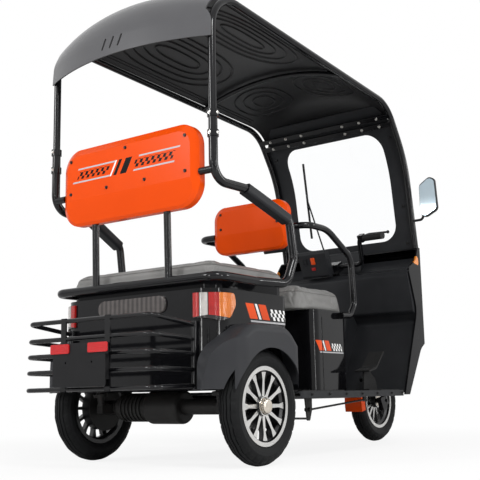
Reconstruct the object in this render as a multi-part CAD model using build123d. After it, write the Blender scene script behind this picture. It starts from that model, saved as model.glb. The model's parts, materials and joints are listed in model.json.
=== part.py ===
from build123d import *
import os
from math import atan, cos, degrees, radians, sin

# Electric passenger tricycle, millimetres, +X forward, +Y left, +Z up.
# While modelling, X is measured from the rear axle, and on front-end pieces from the front
# axle. Every finished piece is moved so that the origin lies under the middle of the box.

# Wheels: 3.00-10 tyres on ten-inch cast rims
TYRE_RADIUS = 203.0
TYRE_WIDTH = 78.0
TYRE_SHOULDER_DROP = 16.0
TYRE_SHOULDER_INSET = 8.0
RIM_SEAT_RADIUS = 127.0
RIM_WELL_DROP = 9.0
RIM_FLANGE_HEIGHT = 10.0
RIM_WIDTH = 62.0
RIM_WALL = 4.5
SPOKE_COUNT = 12
SPOKE_WIDTH = 11.0
SPOKE_FOOT_WIDTH = 26.0
HUB_RADIUS = 34.0
HUB_HALF_LENGTH = 28.0
HUB_CAP_LENGTH = 16.0
DRUM_RADIUS = 84.0
DRUM_DEPTH = 45.0
DRUM_WIDTH = 34.0

# Layout
WHEELBASE = 1592.0
TRACK = 795.0
REAR_OVERHANG = 475.0

# Fits and clearances
FIT_GAP = 0.3
RUNNING_GAP = 5.0
TYRE_ROOM = 20.0

# Steering
RAKE = 26.0
FORK_OFFSET = 28.0
STEM_RADIUS = 17.0
HEAD_TUBE_WALL = 7.0
FORK_LEG_RADIUS = 14.0
FORK_LEG_Y = 64.0
FRONT_AXLE_RADIUS = 8.0
REAR_AXLE_RADIUS = 12.5
BAR_RADIUS = 11.0
BAR_Z = 745.0
GRIP_Z = 885.0
GRIP_LENGTH = 116.0

# Tubes
ROOF_TUBE_RADIUS = 14.0
SEAT_TUBE_RADIUS = 16.0
CHASSIS_TUBE_RADIUS = 12.0
BUMPER_BAR_RADIUS = 8.0
BUMPER_STRAP = 6.0
BOW_RADIUS = 11.0

# Body
BODY_INSET = 24.5
BODY_REAR_X = -213.0
BODY_FRONT_X = 250.0
BODY_BOTTOM_Z = 262.0
BODY_TOP_Z = 604.0
BODY_CORNER = 88.0
BODY_WALL = 6.0
FLUTE_RADIUS = 3.5
FLARE_REACH = 27.5
FENDER_TOP_Z = 484.0
FENDER_WALL = 5.0
FENDER_OPENING_RADIUS = 199.0
FENDER_SHOULDER = 30.0
FLOOR_TOP_Z = 252.0
FLOOR_SKIRT = 25.0
FLOOR_SKIN = 6.0
FLOOR_HALF_WIDTH = 430.0
FLOOR_REAR_X = 224.0
COWL_WALL = 8.0
COWL_TOP_Z = 930.0

# Roof and windscreen
SPLICE_Z = 1214.0
REAR_POST_X = -231.0
FRAME_STANDOFF = 21.0
FRONT_HOOP_Y = 376.0
ROOF_REAR_Z = 1663.0
ROOF_FRONT_Z = 1602.0
ROOF_CROWN = 82.0
ROOF_SKIN = 5.0
LIP_BOTTOM_Z = 1480.0
SCREEN_FRAME_DEPTH = 10.0
SCREEN_LIP = 9.0

# Seats
SEAT_RAIL_Z = 640.0
SEAT_RAIL_X = -218.0
REAR_CUSHION_TOP_Z = 708.0
REAR_CUSHION_BOTTOM_Z = 650.0
DRIVER_BASE_HALF_WIDTH = 270.0
DRIVER_BASE_TOP_Z = 590.0
DRIVER_CUSHION_TOP_Z = 690.0

# Places that follow from the sizes above
AXLE_Z = TYRE_RADIUS
REAR_AXLE_X = -(WHEELBASE + TYRE_RADIUS - REAR_OVERHANG) / 2
WHEEL_Y = TRACK / 2
BODY_HALF_WIDTH = WHEEL_Y - BODY_INSET
SIDE_FRAME_Y = BODY_HALF_WIDTH + FRAME_STANDOFF
WHEEL_TUB_Y = WHEEL_Y - TYRE_WIDTH / 2 - TYRE_ROOM
WHEEL_TUB_RADIUS = TYRE_RADIUS + TYRE_ROOM + RUNNING_GAP
FENDER_Y = WHEEL_Y + TYRE_WIDTH / 2 + FLARE_REACH
RIM_FLANGE_RADIUS = RIM_SEAT_RADIUS + RIM_FLANGE_HEIGHT
FRONT = Pos(WHEELBASE, 0, 0)


def prism(axis, rows, low, high):
    """Solid between two planes across one axis, from rows of (a, b, corner radius)."""
    spots = {
        "x": lambda a, b: (low, a, b),
        "y": lambda a, b: (a, low, b),
        "z": lambda a, b: (a, b, low),
    }
    points = [spots[axis](a, b) for a, b, r in rows]
    outline = FilletPolyline(*points, radius=[r for a, b, r in rows], close=True)
    direction = {"x": (1, 0, 0), "y": (0, 1, 0), "z": (0, 0, 1)}[axis]
    return extrude(make_face(outline), amount=high - low, dir=direction)


def across(rows):
    """Rows of (y, z, radius) on the +Y side, closed by their mirror image on the -Y side."""
    return rows + [(-y, z, r) for y, z, r in reversed(rows)]


def plan_across(rows):
    """Rows of (x, y, radius) on the +Y side, closed by their mirror image on the -Y side."""
    return rows + [(x, -y, r) for x, y, r in reversed(rows)]


def box_rows(x_low, x_high, half_width, radius):
    """Rounded rectangle in plan, centred across the vehicle."""
    return plan_across([(x_low, half_width, radius), (x_high, half_width, radius)])


def both(shape):
    """A piece and its mirror image across the middle plane."""
    return shape + mirror(shape, about=Plane.XZ)


def tube(points, radius, bends):
    """Round tube along straight runs joined by bends."""
    path = FilletPolyline(*points, radius=bends)
    return sweep(Plane(path @ 0, z_dir=path % 0) * Circle(radius), path=path)


def rod(start, end, radius):
    """Straight round bar between two points."""
    path = Line(start, end)
    return extrude(Plane(path @ 0, z_dir=path % 0) * Circle(radius), amount=path.length)


def drum(x, z, radius, y_low, y_high):
    """Cylinder lying across the vehicle."""
    return rod((x, y_low, z), (x, y_high, z), radius)


def turned(points):
    """Solid of revolution about Y from a closed outline of (radius, y) points."""
    return revolve(make_face(Polyline(*points, close=True)), axis=Axis.Y)


pieces = {}

# Wheels, drawn at the origin with the outer face towards +Y

BEAD_Y = RIM_WIDTH / 2 - RIM_WALL
RIM_WELL_RADIUS = RIM_SEAT_RADIUS - RIM_WELL_DROP


def tyre():
    half = TYRE_WIDTH / 2
    bead = BEAD_Y - FIT_GAP
    seat = RIM_SEAT_RADIUS + FIT_GAP
    heel = RIM_FLANGE_RADIUS + FIT_GAP
    bulge = (heel + TYRE_RADIUS) / 2
    shoulder = TYRE_RADIUS - TYRE_SHOULDER_DROP
    edge = half - TYRE_SHOULDER_INSET
    outline = [
        Line((seat, -bead), (seat, bead)),
        Line((seat, bead), (heel, bead)),
        ThreePointArc((heel, bead), (bulge, half), (shoulder, edge)),
        ThreePointArc((shoulder, edge), (TYRE_RADIUS, 0), (shoulder, -edge)),
        ThreePointArc((shoulder, -edge), (bulge, -half), (heel, -bead)),
        Line((heel, -bead), (seat, -bead)),
    ]
    return revolve(make_face(outline), axis=Axis.Y)


def rim_barrel():
    """Drop-centre barrel between two bead flanges."""
    half = RIM_WIDTH / 2
    seat_edge = half * 0.58
    well_edge = half * 0.35
    outer = [
        (RIM_FLANGE_RADIUS, half),
        (RIM_FLANGE_RADIUS, BEAD_Y),
        (RIM_SEAT_RADIUS, BEAD_Y),
        (RIM_SEAT_RADIUS, seat_edge),
        (RIM_WELL_RADIUS, well_edge),
    ]
    inner = [
        (RIM_WELL_RADIUS - RIM_WALL, well_edge),
        (RIM_SEAT_RADIUS - RIM_WALL, seat_edge),
        (RIM_SEAT_RADIUS - RIM_WALL, half),
    ]
    far_side = [(r, -y) for r, y in reversed(outer)]
    far_inner = [(r, -y) for r, y in reversed(inner)]
    return turned(outer + far_side + far_inner + inner)


def rim(bore_radius, cap, brake):
    """Cast rim: barrel, waisted spokes cut from a dished web, hub with its cap and brake drum."""
    web_root = HUB_RADIUS - 6
    web_tip = RIM_WELL_RADIUS - 1
    web = turned([(web_root, -4), (web_root, 20), (web_tip, 25), (web_tip, 6)])
    root = HUB_RADIUS - 8
    neck = RIM_WELL_RADIUS - 28
    tip = RIM_WELL_RADIUS + 2
    blade = [
        (root, SPOKE_WIDTH * 0.72, 0),
        (neck, SPOKE_WIDTH / 2, 30),
        (tip, SPOKE_FOOT_WIDTH / 2, 0),
    ]
    rows = blade + [(r, -half, bend) for r, half, bend in reversed(blade)]
    spoke = prism("y", rows, -RIM_WIDTH / 2, RIM_WIDTH / 2)
    spokes = [Rot(0, 360 / SPOKE_COUNT * i, 0) * spoke for i in range(SPOKE_COUNT)]
    wheel = rim_barrel() + (web & (Part() + spokes))
    wheel += drum(0, 0, HUB_RADIUS, -HUB_HALF_LENGTH, HUB_HALF_LENGTH)
    if brake:
        wheel += drum(0, 0, DRUM_RADIUS, -DRUM_DEPTH, DRUM_WIDTH - DRUM_DEPTH)
    bore_end = HUB_HALF_LENGTH + 1
    if cap:
        dome = drum(0, 0, HUB_RADIUS - 8, HUB_HALF_LENGTH, HUB_HALF_LENGTH + HUB_CAP_LENGTH)
        wheel += fillet(dome.edges().group_by(Axis.Y)[-1], HUB_CAP_LENGTH / 2)
        bore_end = HUB_HALF_LENGTH - 4
    return wheel - drum(0, 0, bore_radius, -DRUM_DEPTH - 1, bore_end)


wheel_tyre = tyre()
rear_left = Pos(0, WHEEL_Y, AXLE_Z)
pieces["rear_left_tyre"] = rear_left * wheel_tyre
pieces["rear_left_rim"] = rear_left * rim(REAR_AXLE_RADIUS + FIT_GAP, cap=True, brake=True)
pieces["rear_right_tyre"] = mirror(pieces["rear_left_tyre"], about=Plane.XZ)
pieces["rear_right_rim"] = mirror(pieces["rear_left_rim"], about=Plane.XZ)
front_hub = FRONT * Pos(0, 0, AXLE_Z)
pieces["front_tyre"] = front_hub * wheel_tyre
pieces["front_rim"] = front_hub * rim(FRONT_AXLE_RADIUS + FIT_GAP, cap=False, brake=False)

# Steering: local Z runs up the steering axis, and the axle lies FORK_OFFSET ahead of it

STEER = FRONT * Pos(
    -FORK_OFFSET * cos(radians(RAKE)), 0, AXLE_Z - FORK_OFFSET * sin(radians(RAKE))
) * Rot(0, -RAKE, 0)
CROWN_LOW = TYRE_RADIUS + 40
CROWN_HIGH = CROWN_LOW + 26
HEAD_LOW = CROWN_HIGH + 24
HEAD_HIGH = HEAD_LOW + 136
STEM_TOP = BAR_Z - BAR_RADIUS - 1
SLIDER_TOP = 130.0
LUG_LENGTH = 52.0

leg = rod((0, 0, SLIDER_TOP / 2), (0, 0, CROWN_HIGH), FORK_LEG_RADIUS - 3)
leg += rod((0, 0, -20), (0, 0, SLIDER_TOP), FORK_LEG_RADIUS)
leg += Box(44, 20, LUG_LENGTH)
leg = Pos(FORK_OFFSET, FORK_LEG_Y, 0) * leg
crown_half = FORK_LEG_Y + FORK_LEG_RADIUS + 6
fork = both(leg) + prism("z", box_rows(-28, 48, crown_half, 16), CROWN_LOW, CROWN_HIGH)
fork += rod((0, 0, CROWN_LOW), (0, 0, STEM_TOP), STEM_RADIUS)
axle_end = FORK_LEG_Y + 18
fork += drum(FORK_OFFSET, 0, FRONT_AXLE_RADIUS, -axle_end, axle_end)
fork += both(drum(FORK_OFFSET, 0, 13, HUB_HALF_LENGTH + 2, FORK_LEG_Y))
caliper_rows = [(-52, -34, 8), (-8, -34, 8), (-2, 24, 8), (-52, 40, 8)]
fork += Pos(FORK_OFFSET, 0, 0) * prism("y", caliper_rows, -FORK_LEG_Y - 12, -FORK_LEG_Y + 12)
pieces["front_fork"] = STEER * fork

RISER_Y = 160.0
CLAMP_SIZE = (52.0, 70.0, 44.0)
grip_start = Vector(-25, RISER_Y + 30, GRIP_Z - 5)
grip_end = Vector(-60, RISER_Y + 170, GRIP_Z + 5)
left_half = [grip_end, grip_start, Vector(0, RISER_Y, BAR_Z)]
bar_points = left_half + [Vector(p.X, -p.Y, p.Z) for p in reversed(left_half)]
bar = tube(bar_points, BAR_RADIUS, [36, 36, 36, 36])
bar += Pos(0, 0, BAR_Z - 4) * Box(*CLAMP_SIZE)
bar -= rod((0, 0, CROWN_HIGH), (0, 0, STEM_TOP + FIT_GAP), STEM_RADIUS + FIT_GAP)
lever_y = grip_start.Y + 15
lever = Pos(-26, lever_y, GRIP_Z - 4) * Box(34, 26, 36)
lever_tip = (4, lever_y + 128, GRIP_Z + 2)
lever += tube([(-20, lever_y, GRIP_Z), (22, lever_y + 17, GRIP_Z), lever_tip], 5, [14])
lever += Pos(*lever_tip) * Sphere(8)
pieces["handlebar"] = STEER * (bar + both(lever))

grip_run = (grip_end - grip_start).normalized()
grip_low = grip_start + grip_run * 34
grip_high = grip_low + grip_run * GRIP_LENGTH
grip = rod(grip_low, grip_high, BAR_RADIUS + 5)
grip -= rod(grip_low, grip_high - grip_run * 4, BAR_RADIUS + FIT_GAP)
pieces["handle_grips"] = STEER * both(grip)

# Switch box on the rear face of the bar's clamp, reaching behind the left half of the bar
box_face = -CLAMP_SIZE[0] / 2 - FIT_GAP
switch_rows = [
    (box_face - 52, BAR_Z - 23, 14),
    (box_face, BAR_Z - 23, 6),
    (box_face, BAR_Z + 97, 6),
    (box_face - 38, BAR_Z + 117, 16),
]
pieces["switch_box"] = STEER * prism("y", switch_rows, -8, RISER_Y - BAR_RADIUS - RUNNING_GAP)

# Front mudguard: a channel turned round the tyre from behind the wheel to ahead of its top
GUARD_SKIN = 3.0
GUARD_DEPTH = 34.0
GUARD_START, GUARD_SWEEP = 166, 165
guard_in = TYRE_RADIUS + RUNNING_GAP + 4
guard_half = TYRE_WIDTH / 2 + RUNNING_GAP
channel = [
    (guard_in - GUARD_DEPTH, guard_half),
    (guard_in, guard_half),
    (guard_in, -guard_half),
    (guard_in - GUARD_DEPTH, -guard_half),
    (guard_in - GUARD_DEPTH, -guard_half - GUARD_SKIN),
    (guard_in + GUARD_SKIN, -guard_half - GUARD_SKIN),
    (guard_in + GUARD_SKIN, guard_half + GUARD_SKIN),
    (guard_in - GUARD_DEPTH, guard_half + GUARD_SKIN),
]
guard = revolve(make_face(Polyline(*channel, close=True)), axis=Axis.Y, revolution_arc=GUARD_SWEEP)
boss = rod((FORK_OFFSET, 0, guard_in + 1), (FORK_OFFSET, 0, CROWN_LOW - FIT_GAP), FORK_LEG_RADIUS)
pieces["front_fender"] = front_hub * Rot(0, GUARD_START, 0) * guard + STEER * boss

# Chassis: two bent rails that rise over the rear axle and meet at the head tube

RAIL_Y = WHEEL_Y / 2
RAIL_Z = FLOOR_TOP_Z - FLOOR_SKIN - CHASSIS_TUBE_RADIUS - FIT_GAP
RAIL_REAR_Z = AXLE_Z + 107
RAIL_KNEE_X = BODY_FRONT_X - 72
FLOOR_FRONT_X = WHEELBASE - 514
SHOCK_Y = WHEEL_Y - 107.5
SHOCK_TOP = (-105.0, AXLE_Z + 237)
SHOCK_FOOT_X = -74.0
SHOCK_SEAT_Z = AXLE_Z + 13
CROSS_RADIUS = CHASSIS_TUBE_RADIUS - 2

head_joint = (STEER * Pos(0, 0, HEAD_LOW + 40)).position
rail_points = [
    (BODY_REAR_X + 25, RAIL_Y, RAIL_REAR_Z),
    (RAIL_KNEE_X - 80, RAIL_Y, RAIL_REAR_Z),
    (RAIL_KNEE_X, RAIL_Y, RAIL_Z),
    (FLOOR_FRONT_X + 82, RAIL_Y, RAIL_Z),
    (head_joint.X, 12, head_joint.Z),
]
frame = both(tube(rail_points, CHASSIS_TUBE_RADIUS, [90, 90, 120]))
cross_stations = [
    (BODY_REAR_X + 60, RAIL_REAR_Z),
    (BODY_FRONT_X + 80, RAIL_Z),
    ((BODY_FRONT_X + FLOOR_FRONT_X) / 2, RAIL_Z),
    (FLOOR_FRONT_X - 48, RAIL_Z),
]
for x, z in cross_stations:
    frame += drum(x, z, CROSS_RADIUS, -RAIL_Y, RAIL_Y)
frame += drum(*SHOCK_TOP, CROSS_RADIUS, -SHOCK_Y - 22, SHOCK_Y + 22)
tower_x, tower_z = SHOCK_TOP
frame += both(rod((tower_x, RAIL_Y, RAIL_REAR_Z), (tower_x, RAIL_Y, tower_z), CROSS_RADIUS - 2))
frame += STEER * rod((0, 0, HEAD_LOW), (0, 0, HEAD_HIGH), STEM_RADIUS + HEAD_TUBE_WALL)
frame -= STEER * rod((0, 0, HEAD_LOW - 40), (0, 0, HEAD_HIGH + 40), STEM_RADIUS + FIT_GAP)
# The rear of the frame is a subframe of its own, which meets the rails end to end under the bench
SUBFRAME_END_X = BODY_FRONT_X - 20
subframe_joint = Pos(SUBFRAME_END_X, 0, RAIL_Z) * Box(FIT_GAP, 4 * RAIL_Y, 4 * RAIL_Z)
pieces["chassis_frame"] = frame - subframe_joint

# Rear axle, motor and shocks

HOUSING_RADIUS = 28.0
GEAR_CASE_RADIUS = 62.0
GEAR_CASE_Y = (-70.0, 95.0)
MOTOR_RADIUS = 49.0
MOTOR_END_Y = 248.0
FIN_COUNT = 6
FIN_WIDTH = 9.0
PLATE_Y = WHEEL_Y - DRUM_DEPTH - RUNNING_GAP

axle = drum(0, AXLE_Z, HOUSING_RADIUS, -PLATE_Y, PLATE_Y)
axle += drum(0, AXLE_Z, REAR_AXLE_RADIUS, -WHEEL_Y - 20, WHEEL_Y + 20)
axle += both(drum(0, AXLE_Z, DRUM_RADIUS + 4, PLATE_Y - 7, PLATE_Y))
case = drum(0, AXLE_Z, GEAR_CASE_RADIUS, *GEAR_CASE_Y)
axle += fillet(case.edges().filter_by(GeomType.CIRCLE), 14)
foot_reach = 20 - SHOCK_FOOT_X
shock_seat = Pos(10 - foot_reach / 2, SHOCK_Y, SHOCK_SEAT_Z - 17) * Box(foot_reach, 30, 34)
axle += both(shock_seat)
pieces["rear_axle_housing"] = axle

motor = drum(0, AXLE_Z, MOTOR_RADIUS, GEAR_CASE_Y[1] + FIT_GAP, MOTOR_END_Y)
motor = fillet(motor.edges().filter_by(GeomType.CIRCLE).group_by(Axis.Y)[-1], 10)
fin_pitch = (MOTOR_END_Y - GEAR_CASE_Y[1] - 40) / FIN_COUNT
for i in range(FIN_COUNT):
    fin_y = GEAR_CASE_Y[1] + 22 + fin_pitch * i
    motor += drum(0, AXLE_Z, MOTOR_RADIUS + 5, fin_y, fin_y + FIN_WIDTH)
pieces["drive_motor"] = motor - drum(0, AXLE_Z, HOUSING_RADIUS + FIT_GAP, 0, MOTOR_END_Y + 1)

# Coil-over shock: damper body with the coils as turned ribs
COIL_COUNT = 7
COIL_RADIUS = 27.0
shock_foot = Vector(SHOCK_FOOT_X, SHOCK_Y, SHOCK_SEAT_Z - 5)
shock_head = Vector(tower_x, SHOCK_Y, tower_z)
shock_run = shock_head - shock_foot
shock_axis = shock_run.normalized()
shock = rod(shock_foot, shock_head, COIL_RADIUS / 2)
coil_pitch = (shock_run.length - 66) / COIL_COUNT
for i in range(COIL_COUNT):
    coil_low = shock_foot + shock_axis * (34 + coil_pitch * i)
    shock += rod(coil_low, coil_low + shock_axis * (coil_pitch * 0.55), COIL_RADIUS)
shock -= drum(*SHOCK_TOP, CROSS_RADIUS + FIT_GAP, SHOCK_Y - COIL_RADIUS, SHOCK_Y + COIL_RADIUS)
shock -= Pos(0, 0, FIT_GAP) * shock_seat
pieces["rear_shocks"] = both(shock)

# Floor pan with a turned-down skirt
floor_rows = box_rows(FLOOR_REAR_X, FLOOR_FRONT_X, FLOOR_HALF_WIDTH, 18)
under_rows = box_rows(
    FLOOR_REAR_X - 20, FLOOR_FRONT_X + 20, FLOOR_HALF_WIDTH - FLOOR_SKIN, 18 - FLOOR_SKIN
)
floor = prism("z", floor_rows, FLOOR_TOP_Z - FLOOR_SKIRT, FLOOR_TOP_Z)
floor -= prism("z", under_rows, FLOOR_TOP_Z - FLOOR_SKIRT - 1, FLOOR_TOP_Z - FLOOR_SKIN)
pieces["floor_panel"] = floor

# Driver's seat, placed from the front axle

DRIVER_BASE_X = (-1002.0, -719.0)
DRIVER_CUSHION_X = (-1092.0, -687.0)
DRIVER_BACK_X = (-1077.0, -1034.0)
DRIVER_BACK_Z = (851.0, 1066.0)
DRIVER_BACK_HALF_WIDTH = 195.0
DRIVER_ARM_Y = DRIVER_BASE_HALF_WIDTH + 18
base_low = FLOOR_TOP_Z + FIT_GAP


def driver_base(inset, low, high):
    x_low, x_high = DRIVER_BASE_X
    rows = box_rows(x_low + inset, x_high - inset, DRIVER_BASE_HALF_WIDTH - inset, 42 - inset)
    return prism("z", rows, low, high)


base = driver_base(0, base_low, DRIVER_BASE_TOP_Z)
base -= driver_base(BODY_WALL, base_low - 1, DRIVER_BASE_TOP_Z - BODY_WALL)
groove_x = DRIVER_BASE_X[0] + 64
for y in (-DRIVER_BASE_HALF_WIDTH, DRIVER_BASE_HALF_WIDTH):
    base -= rod((groove_x, y, base_low - 1), (groove_x, y, DRIVER_BASE_TOP_Z - 30), BODY_WALL / 2)
pieces["driver_seat_base"] = FRONT * base
battery_rows = box_rows(DRIVER_BASE_X[0] + 35, DRIVER_BASE_X[1] - 33, DRIVER_BASE_HALF_WIDTH - 80, 10)
pieces["battery_pack"] = FRONT * prism("z", battery_rows, base_low, DRIVER_BASE_TOP_Z - 90)
cushion_rows = box_rows(*DRIVER_CUSHION_X, DRIVER_BASE_HALF_WIDTH - 15, 60)
cushion = prism("z", cushion_rows, DRIVER_BASE_TOP_Z + FIT_GAP, DRIVER_CUSHION_TOP_Z)
pieces["driver_seat_cushion"] = FRONT * fillet(cushion.edges().group_by(Axis.Z)[-1], 30)


def backrest(x_span, z_span, half_width, corner, bevel, crease, pad_depth):
    """Moulded shell and the upholstered pad in front of it.

    The rear face is flat above the crease and slopes forward below it.
    """
    x_rear, x_front = x_span
    low, high = z_span
    rows = across([(half_width, low, corner), (half_width, high, corner)])
    shell = prism("x", rows, *x_span)
    shell = chamfer(shell.edges().group_by(Axis.X)[0], bevel, bevel * 1.6)
    crease_z = low + (high - low) * crease
    slope = [(x_rear - 1, low - 1, 0), (x_rear + bevel * 0.7, low - 1, 0), (x_rear - 1, crease_z, 0)]
    shell -= prism("y", slope, -half_width, half_width)
    inset = corner * 0.2
    pad_corner = corner - inset
    pad_half = half_width - inset
    pad_rows = across([(pad_half, low + inset, pad_corner), (pad_half, high - inset, pad_corner)])
    face = x_front + FIT_GAP
    pad = prism("x", pad_rows, face, face + pad_depth)
    pad = fillet(pad.edges().group_by(Axis.X)[-1], pad_depth * 0.4)
    return shell, pad


shell, pad = backrest(DRIVER_BACK_X, DRIVER_BACK_Z, DRIVER_BACK_HALF_WIDTH, 60, 14, 0.45, 46)
pieces["driver_backrest_shell"] = FRONT * shell
pieces["driver_backrest_pad"] = FRONT * pad

# Driver's armrests: from the backrest's sides, over the arm and down to the seat base
ARM_Z = 938.0
ARM_TUBE_RADIUS = SEAT_TUBE_RADIUS - 2
arm_x = sum(DRIVER_BACK_X) / 2
arm_foot_z = DRIVER_BASE_TOP_Z - 12
arm_points = [
    (arm_x, DRIVER_BACK_HALF_WIDTH + FIT_GAP, ARM_Z),
    (arm_x, DRIVER_ARM_Y, ARM_Z),
    (arm_x + 158, DRIVER_ARM_Y, ARM_Z),
    (arm_x + 356, DRIVER_ARM_Y, ARM_Z - 100),
    (arm_x + 372, DRIVER_ARM_Y, arm_foot_z + 50),
    (arm_x + 330, DRIVER_ARM_Y, arm_foot_z),
    (arm_x + 250, DRIVER_ARM_Y, arm_foot_z - 5),
]
arm = tube(arm_points, ARM_TUBE_RADIUS, [50, 190, 80, 34, 34])
stand_off = DRIVER_ARM_Y - DRIVER_BASE_HALF_WIDTH - FIT_GAP
bracket_y = DRIVER_ARM_Y - stand_off / 2
arm += Pos(arm_x + 270, bracket_y, arm_foot_z - 4) * Box(40, stand_off, ARM_TUBE_RADIUS * 1.6)
pieces["driver_armrests"] = FRONT * both(arm)

# Rear body: one moulded tub with round fluted rear corners and wheel wells, open below


def tub_rows(inset):
    """Plan of the tub, with wide rear corners and tighter front ones."""
    return plan_across(
        [
            (BODY_REAR_X + inset, BODY_HALF_WIDTH - inset, BODY_CORNER - inset),
            (BODY_FRONT_X - inset, BODY_HALF_WIDTH - inset, BODY_CORNER / 2 - inset),
        ]
    )


def wheel_tubs(radius, y_inner):
    """The two wheel wells as cylinders from their inner wall outwards."""
    return both(drum(0, AXLE_Z, radius, y_inner, FENDER_Y + 20))


hollow = prism("z", tub_rows(BODY_WALL), BODY_BOTTOM_Z - 10, BODY_TOP_Z - BODY_WALL)
hollow -= wheel_tubs(WHEEL_TUB_RADIUS + BODY_WALL, WHEEL_TUB_Y - BODY_WALL)
body = prism("z", tub_rows(0), BODY_BOTTOM_Z, BODY_TOP_Z) - hollow
body -= wheel_tubs(WHEEL_TUB_RADIUS, WHEEL_TUB_Y)

# Tail lamps wrapped round the corners, proud of the skin, with flutes below them
LAMP_Z = (484.0, 588.0)
LAMP_DEPTH = 12.0
LAMP_PROUD = 9.0
FLUTE_ANGLES = (15, 35, 55, 75)
corner_x = BODY_REAR_X + BODY_CORNER
corner_y = BODY_HALF_WIDTH - BODY_CORNER
lamp_rows = [
    (BODY_REAR_X - 30, LAMP_Z[0] + 26, 0),
    (corner_x - 20, LAMP_Z[0], 60),
    (corner_x + 26, LAMP_Z[1] - 40, 30),
    (corner_x + 18, LAMP_Z[1], 14),
    (BODY_REAR_X - 30, LAMP_Z[1], 0),
]
lamp_zone = prism("y", lamp_rows, corner_y + 4, BODY_HALF_WIDTH + 20)
lamp_shell = prism("z", tub_rows(-LAMP_PROUD), *LAMP_Z) - prism("z", tub_rows(LAMP_DEPTH), *LAMP_Z)
lamp_seat = lamp_zone & lamp_shell
pieces["tail_lamps"] = both(lamp_seat)
LENS_HALF_WIDTH = 165.0
lens_rows = across([(LENS_HALF_WIDTH, 530, 30), (LENS_HALF_WIDTH, 592, 30)])
lens = prism("x", lens_rows, BODY_REAR_X - LAMP_PROUD, BODY_REAR_X + LAMP_DEPTH)
pieces["centre_lens"] = fillet(lens.edges().group_by(Axis.X)[0], LAMP_PROUD / 2)
body -= both(lamp_seat) + lens
for angle in FLUTE_ANGLES:
    flute_x = corner_x - BODY_CORNER * cos(radians(angle))
    flute_y = corner_y + BODY_CORNER * sin(radians(angle))
    flute_low = (flute_x, flute_y, BODY_BOTTOM_Z - 1)
    flute_high = (flute_x, flute_y, LAMP_Z[0] - 16)
    body -= both(rod(flute_low, flute_high, FLUTE_RADIUS))
pieces["rear_body"] = body

# Rear fenders: flared shells outside the wheel wells, whose tails wrap round the tub's corners

FENDER_IN = BODY_HALF_WIDTH + FIT_GAP
FENDER_TAIL_X = -262.0
FENDER_TAIL_Y = BODY_HALF_WIDTH - 38
FENDER_NOSE_X = 218.0


def fender_volume(inset):
    """Outside of the flare, or its inside, which runs out past the open faces."""
    overrun = 20 if inset else 0
    y_in = FENDER_IN - overrun
    low = BODY_BOTTOM_Z - overrun
    outer = FENDER_Y - inset
    tail = FENDER_TAIL_X + inset
    nose = FENDER_NOSE_X - inset
    side = [
        (tail - 14, low, 0),
        (tail + 12, 392 - inset, 110),
        (-110, FENDER_TOP_Z - inset, 110),
        (110, FENDER_TOP_Z - inset, 110),
        (nose - 22, 400 - inset, 110),
        (nose, low, 0),
    ]
    plan = [
        (tail, FENDER_TAIL_Y + inset, 6),
        (tail - 12, FENDER_TAIL_Y + 28, 20),
        (-170, outer, 80),
        (160, outer, 60),
        (nose + 1, outer - 44, 12),
        (nose + 1, y_in, 0),
        (corner_x, y_in, 0),
    ]
    flare = prism("y", side, FENDER_TAIL_Y - overrun, outer)
    rim_edges = flare.edges().group_by(Axis.Y)[-1].filter_by(lambda e: e.center().Z > low + 1)
    flare = fillet(rim_edges, FENDER_SHOULDER - inset) & prism("z", plan, low, FENDER_TOP_Z + 10)
    tub = prism("z", tub_rows(-FIT_GAP - inset), low - 1, BODY_TOP_Z)
    return flare - (tub & Pos(corner_x - 200, 0, BODY_TOP_Z / 2) * Box(400, 2 * FENDER_Y, 2 * BODY_TOP_Z))


fender = fender_volume(0) - fender_volume(FENDER_WALL)
fender -= drum(0, AXLE_Z, WHEEL_TUB_RADIUS, WHEEL_TUB_Y, WHEEL_Y + TYRE_WIDTH / 2 + RUNNING_GAP)
fender -= drum(0, AXLE_Z, FENDER_OPENING_RADIUS, BODY_HALF_WIDTH, FENDER_Y + 10)
pieces["rear_fender_left"] = fender
pieces["rear_fender_right"] = mirror(fender, about=Plane.XZ)

# Rear bumper: five U-shaped bars on two uprights, with straps that carry the plate holder

BUMPER_X = -436.0
UPRIGHT_RADIUS = BUMPER_BAR_RADIUS + 3
UPRIGHT_X = BODY_REAR_X - UPRIGHT_RADIUS - 2
UPRIGHT_Y = BODY_HALF_WIDTH - 75
STRAP_Y = 105.0
BUMPER_ROWS = [
    # height at the rear, height at the upright, extra half width at the rear
    (504, 478, -5),
    (442, 430, 0),
    (387, 380, 5),
    (331, 328, 8),
    (271, 275, 10),
]
bumper = both(rod((UPRIGHT_X, UPRIGHT_Y, 262), (UPRIGHT_X, UPRIGHT_Y, 492), UPRIGHT_RADIUS))
for z, z_upright, widening in BUMPER_ROWS:
    leg_points = [(UPRIGHT_X, UPRIGHT_Y, z_upright), (BUMPER_X, UPRIGHT_Y + widening, z)]
    run = leg_points + [(x, -y, h) for x, y, h in reversed(leg_points)]
    bumper += tube(run, BUMPER_BAR_RADIUS, [30, 30])
for z in (300, 455):
    bumper += both(rod((UPRIGHT_X, UPRIGHT_Y, z), (BODY_REAR_X - FIT_GAP, UPRIGHT_Y, z), 7))
strap_x = BUMPER_X - BUMPER_BAR_RADIUS + BUMPER_STRAP / 2
for y in (-STRAP_Y, STRAP_Y):
    bumper += Pos(strap_x, y, 388) * Box(BUMPER_STRAP, 24, 250)
pieces["rear_bumper"] = bumper

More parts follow.
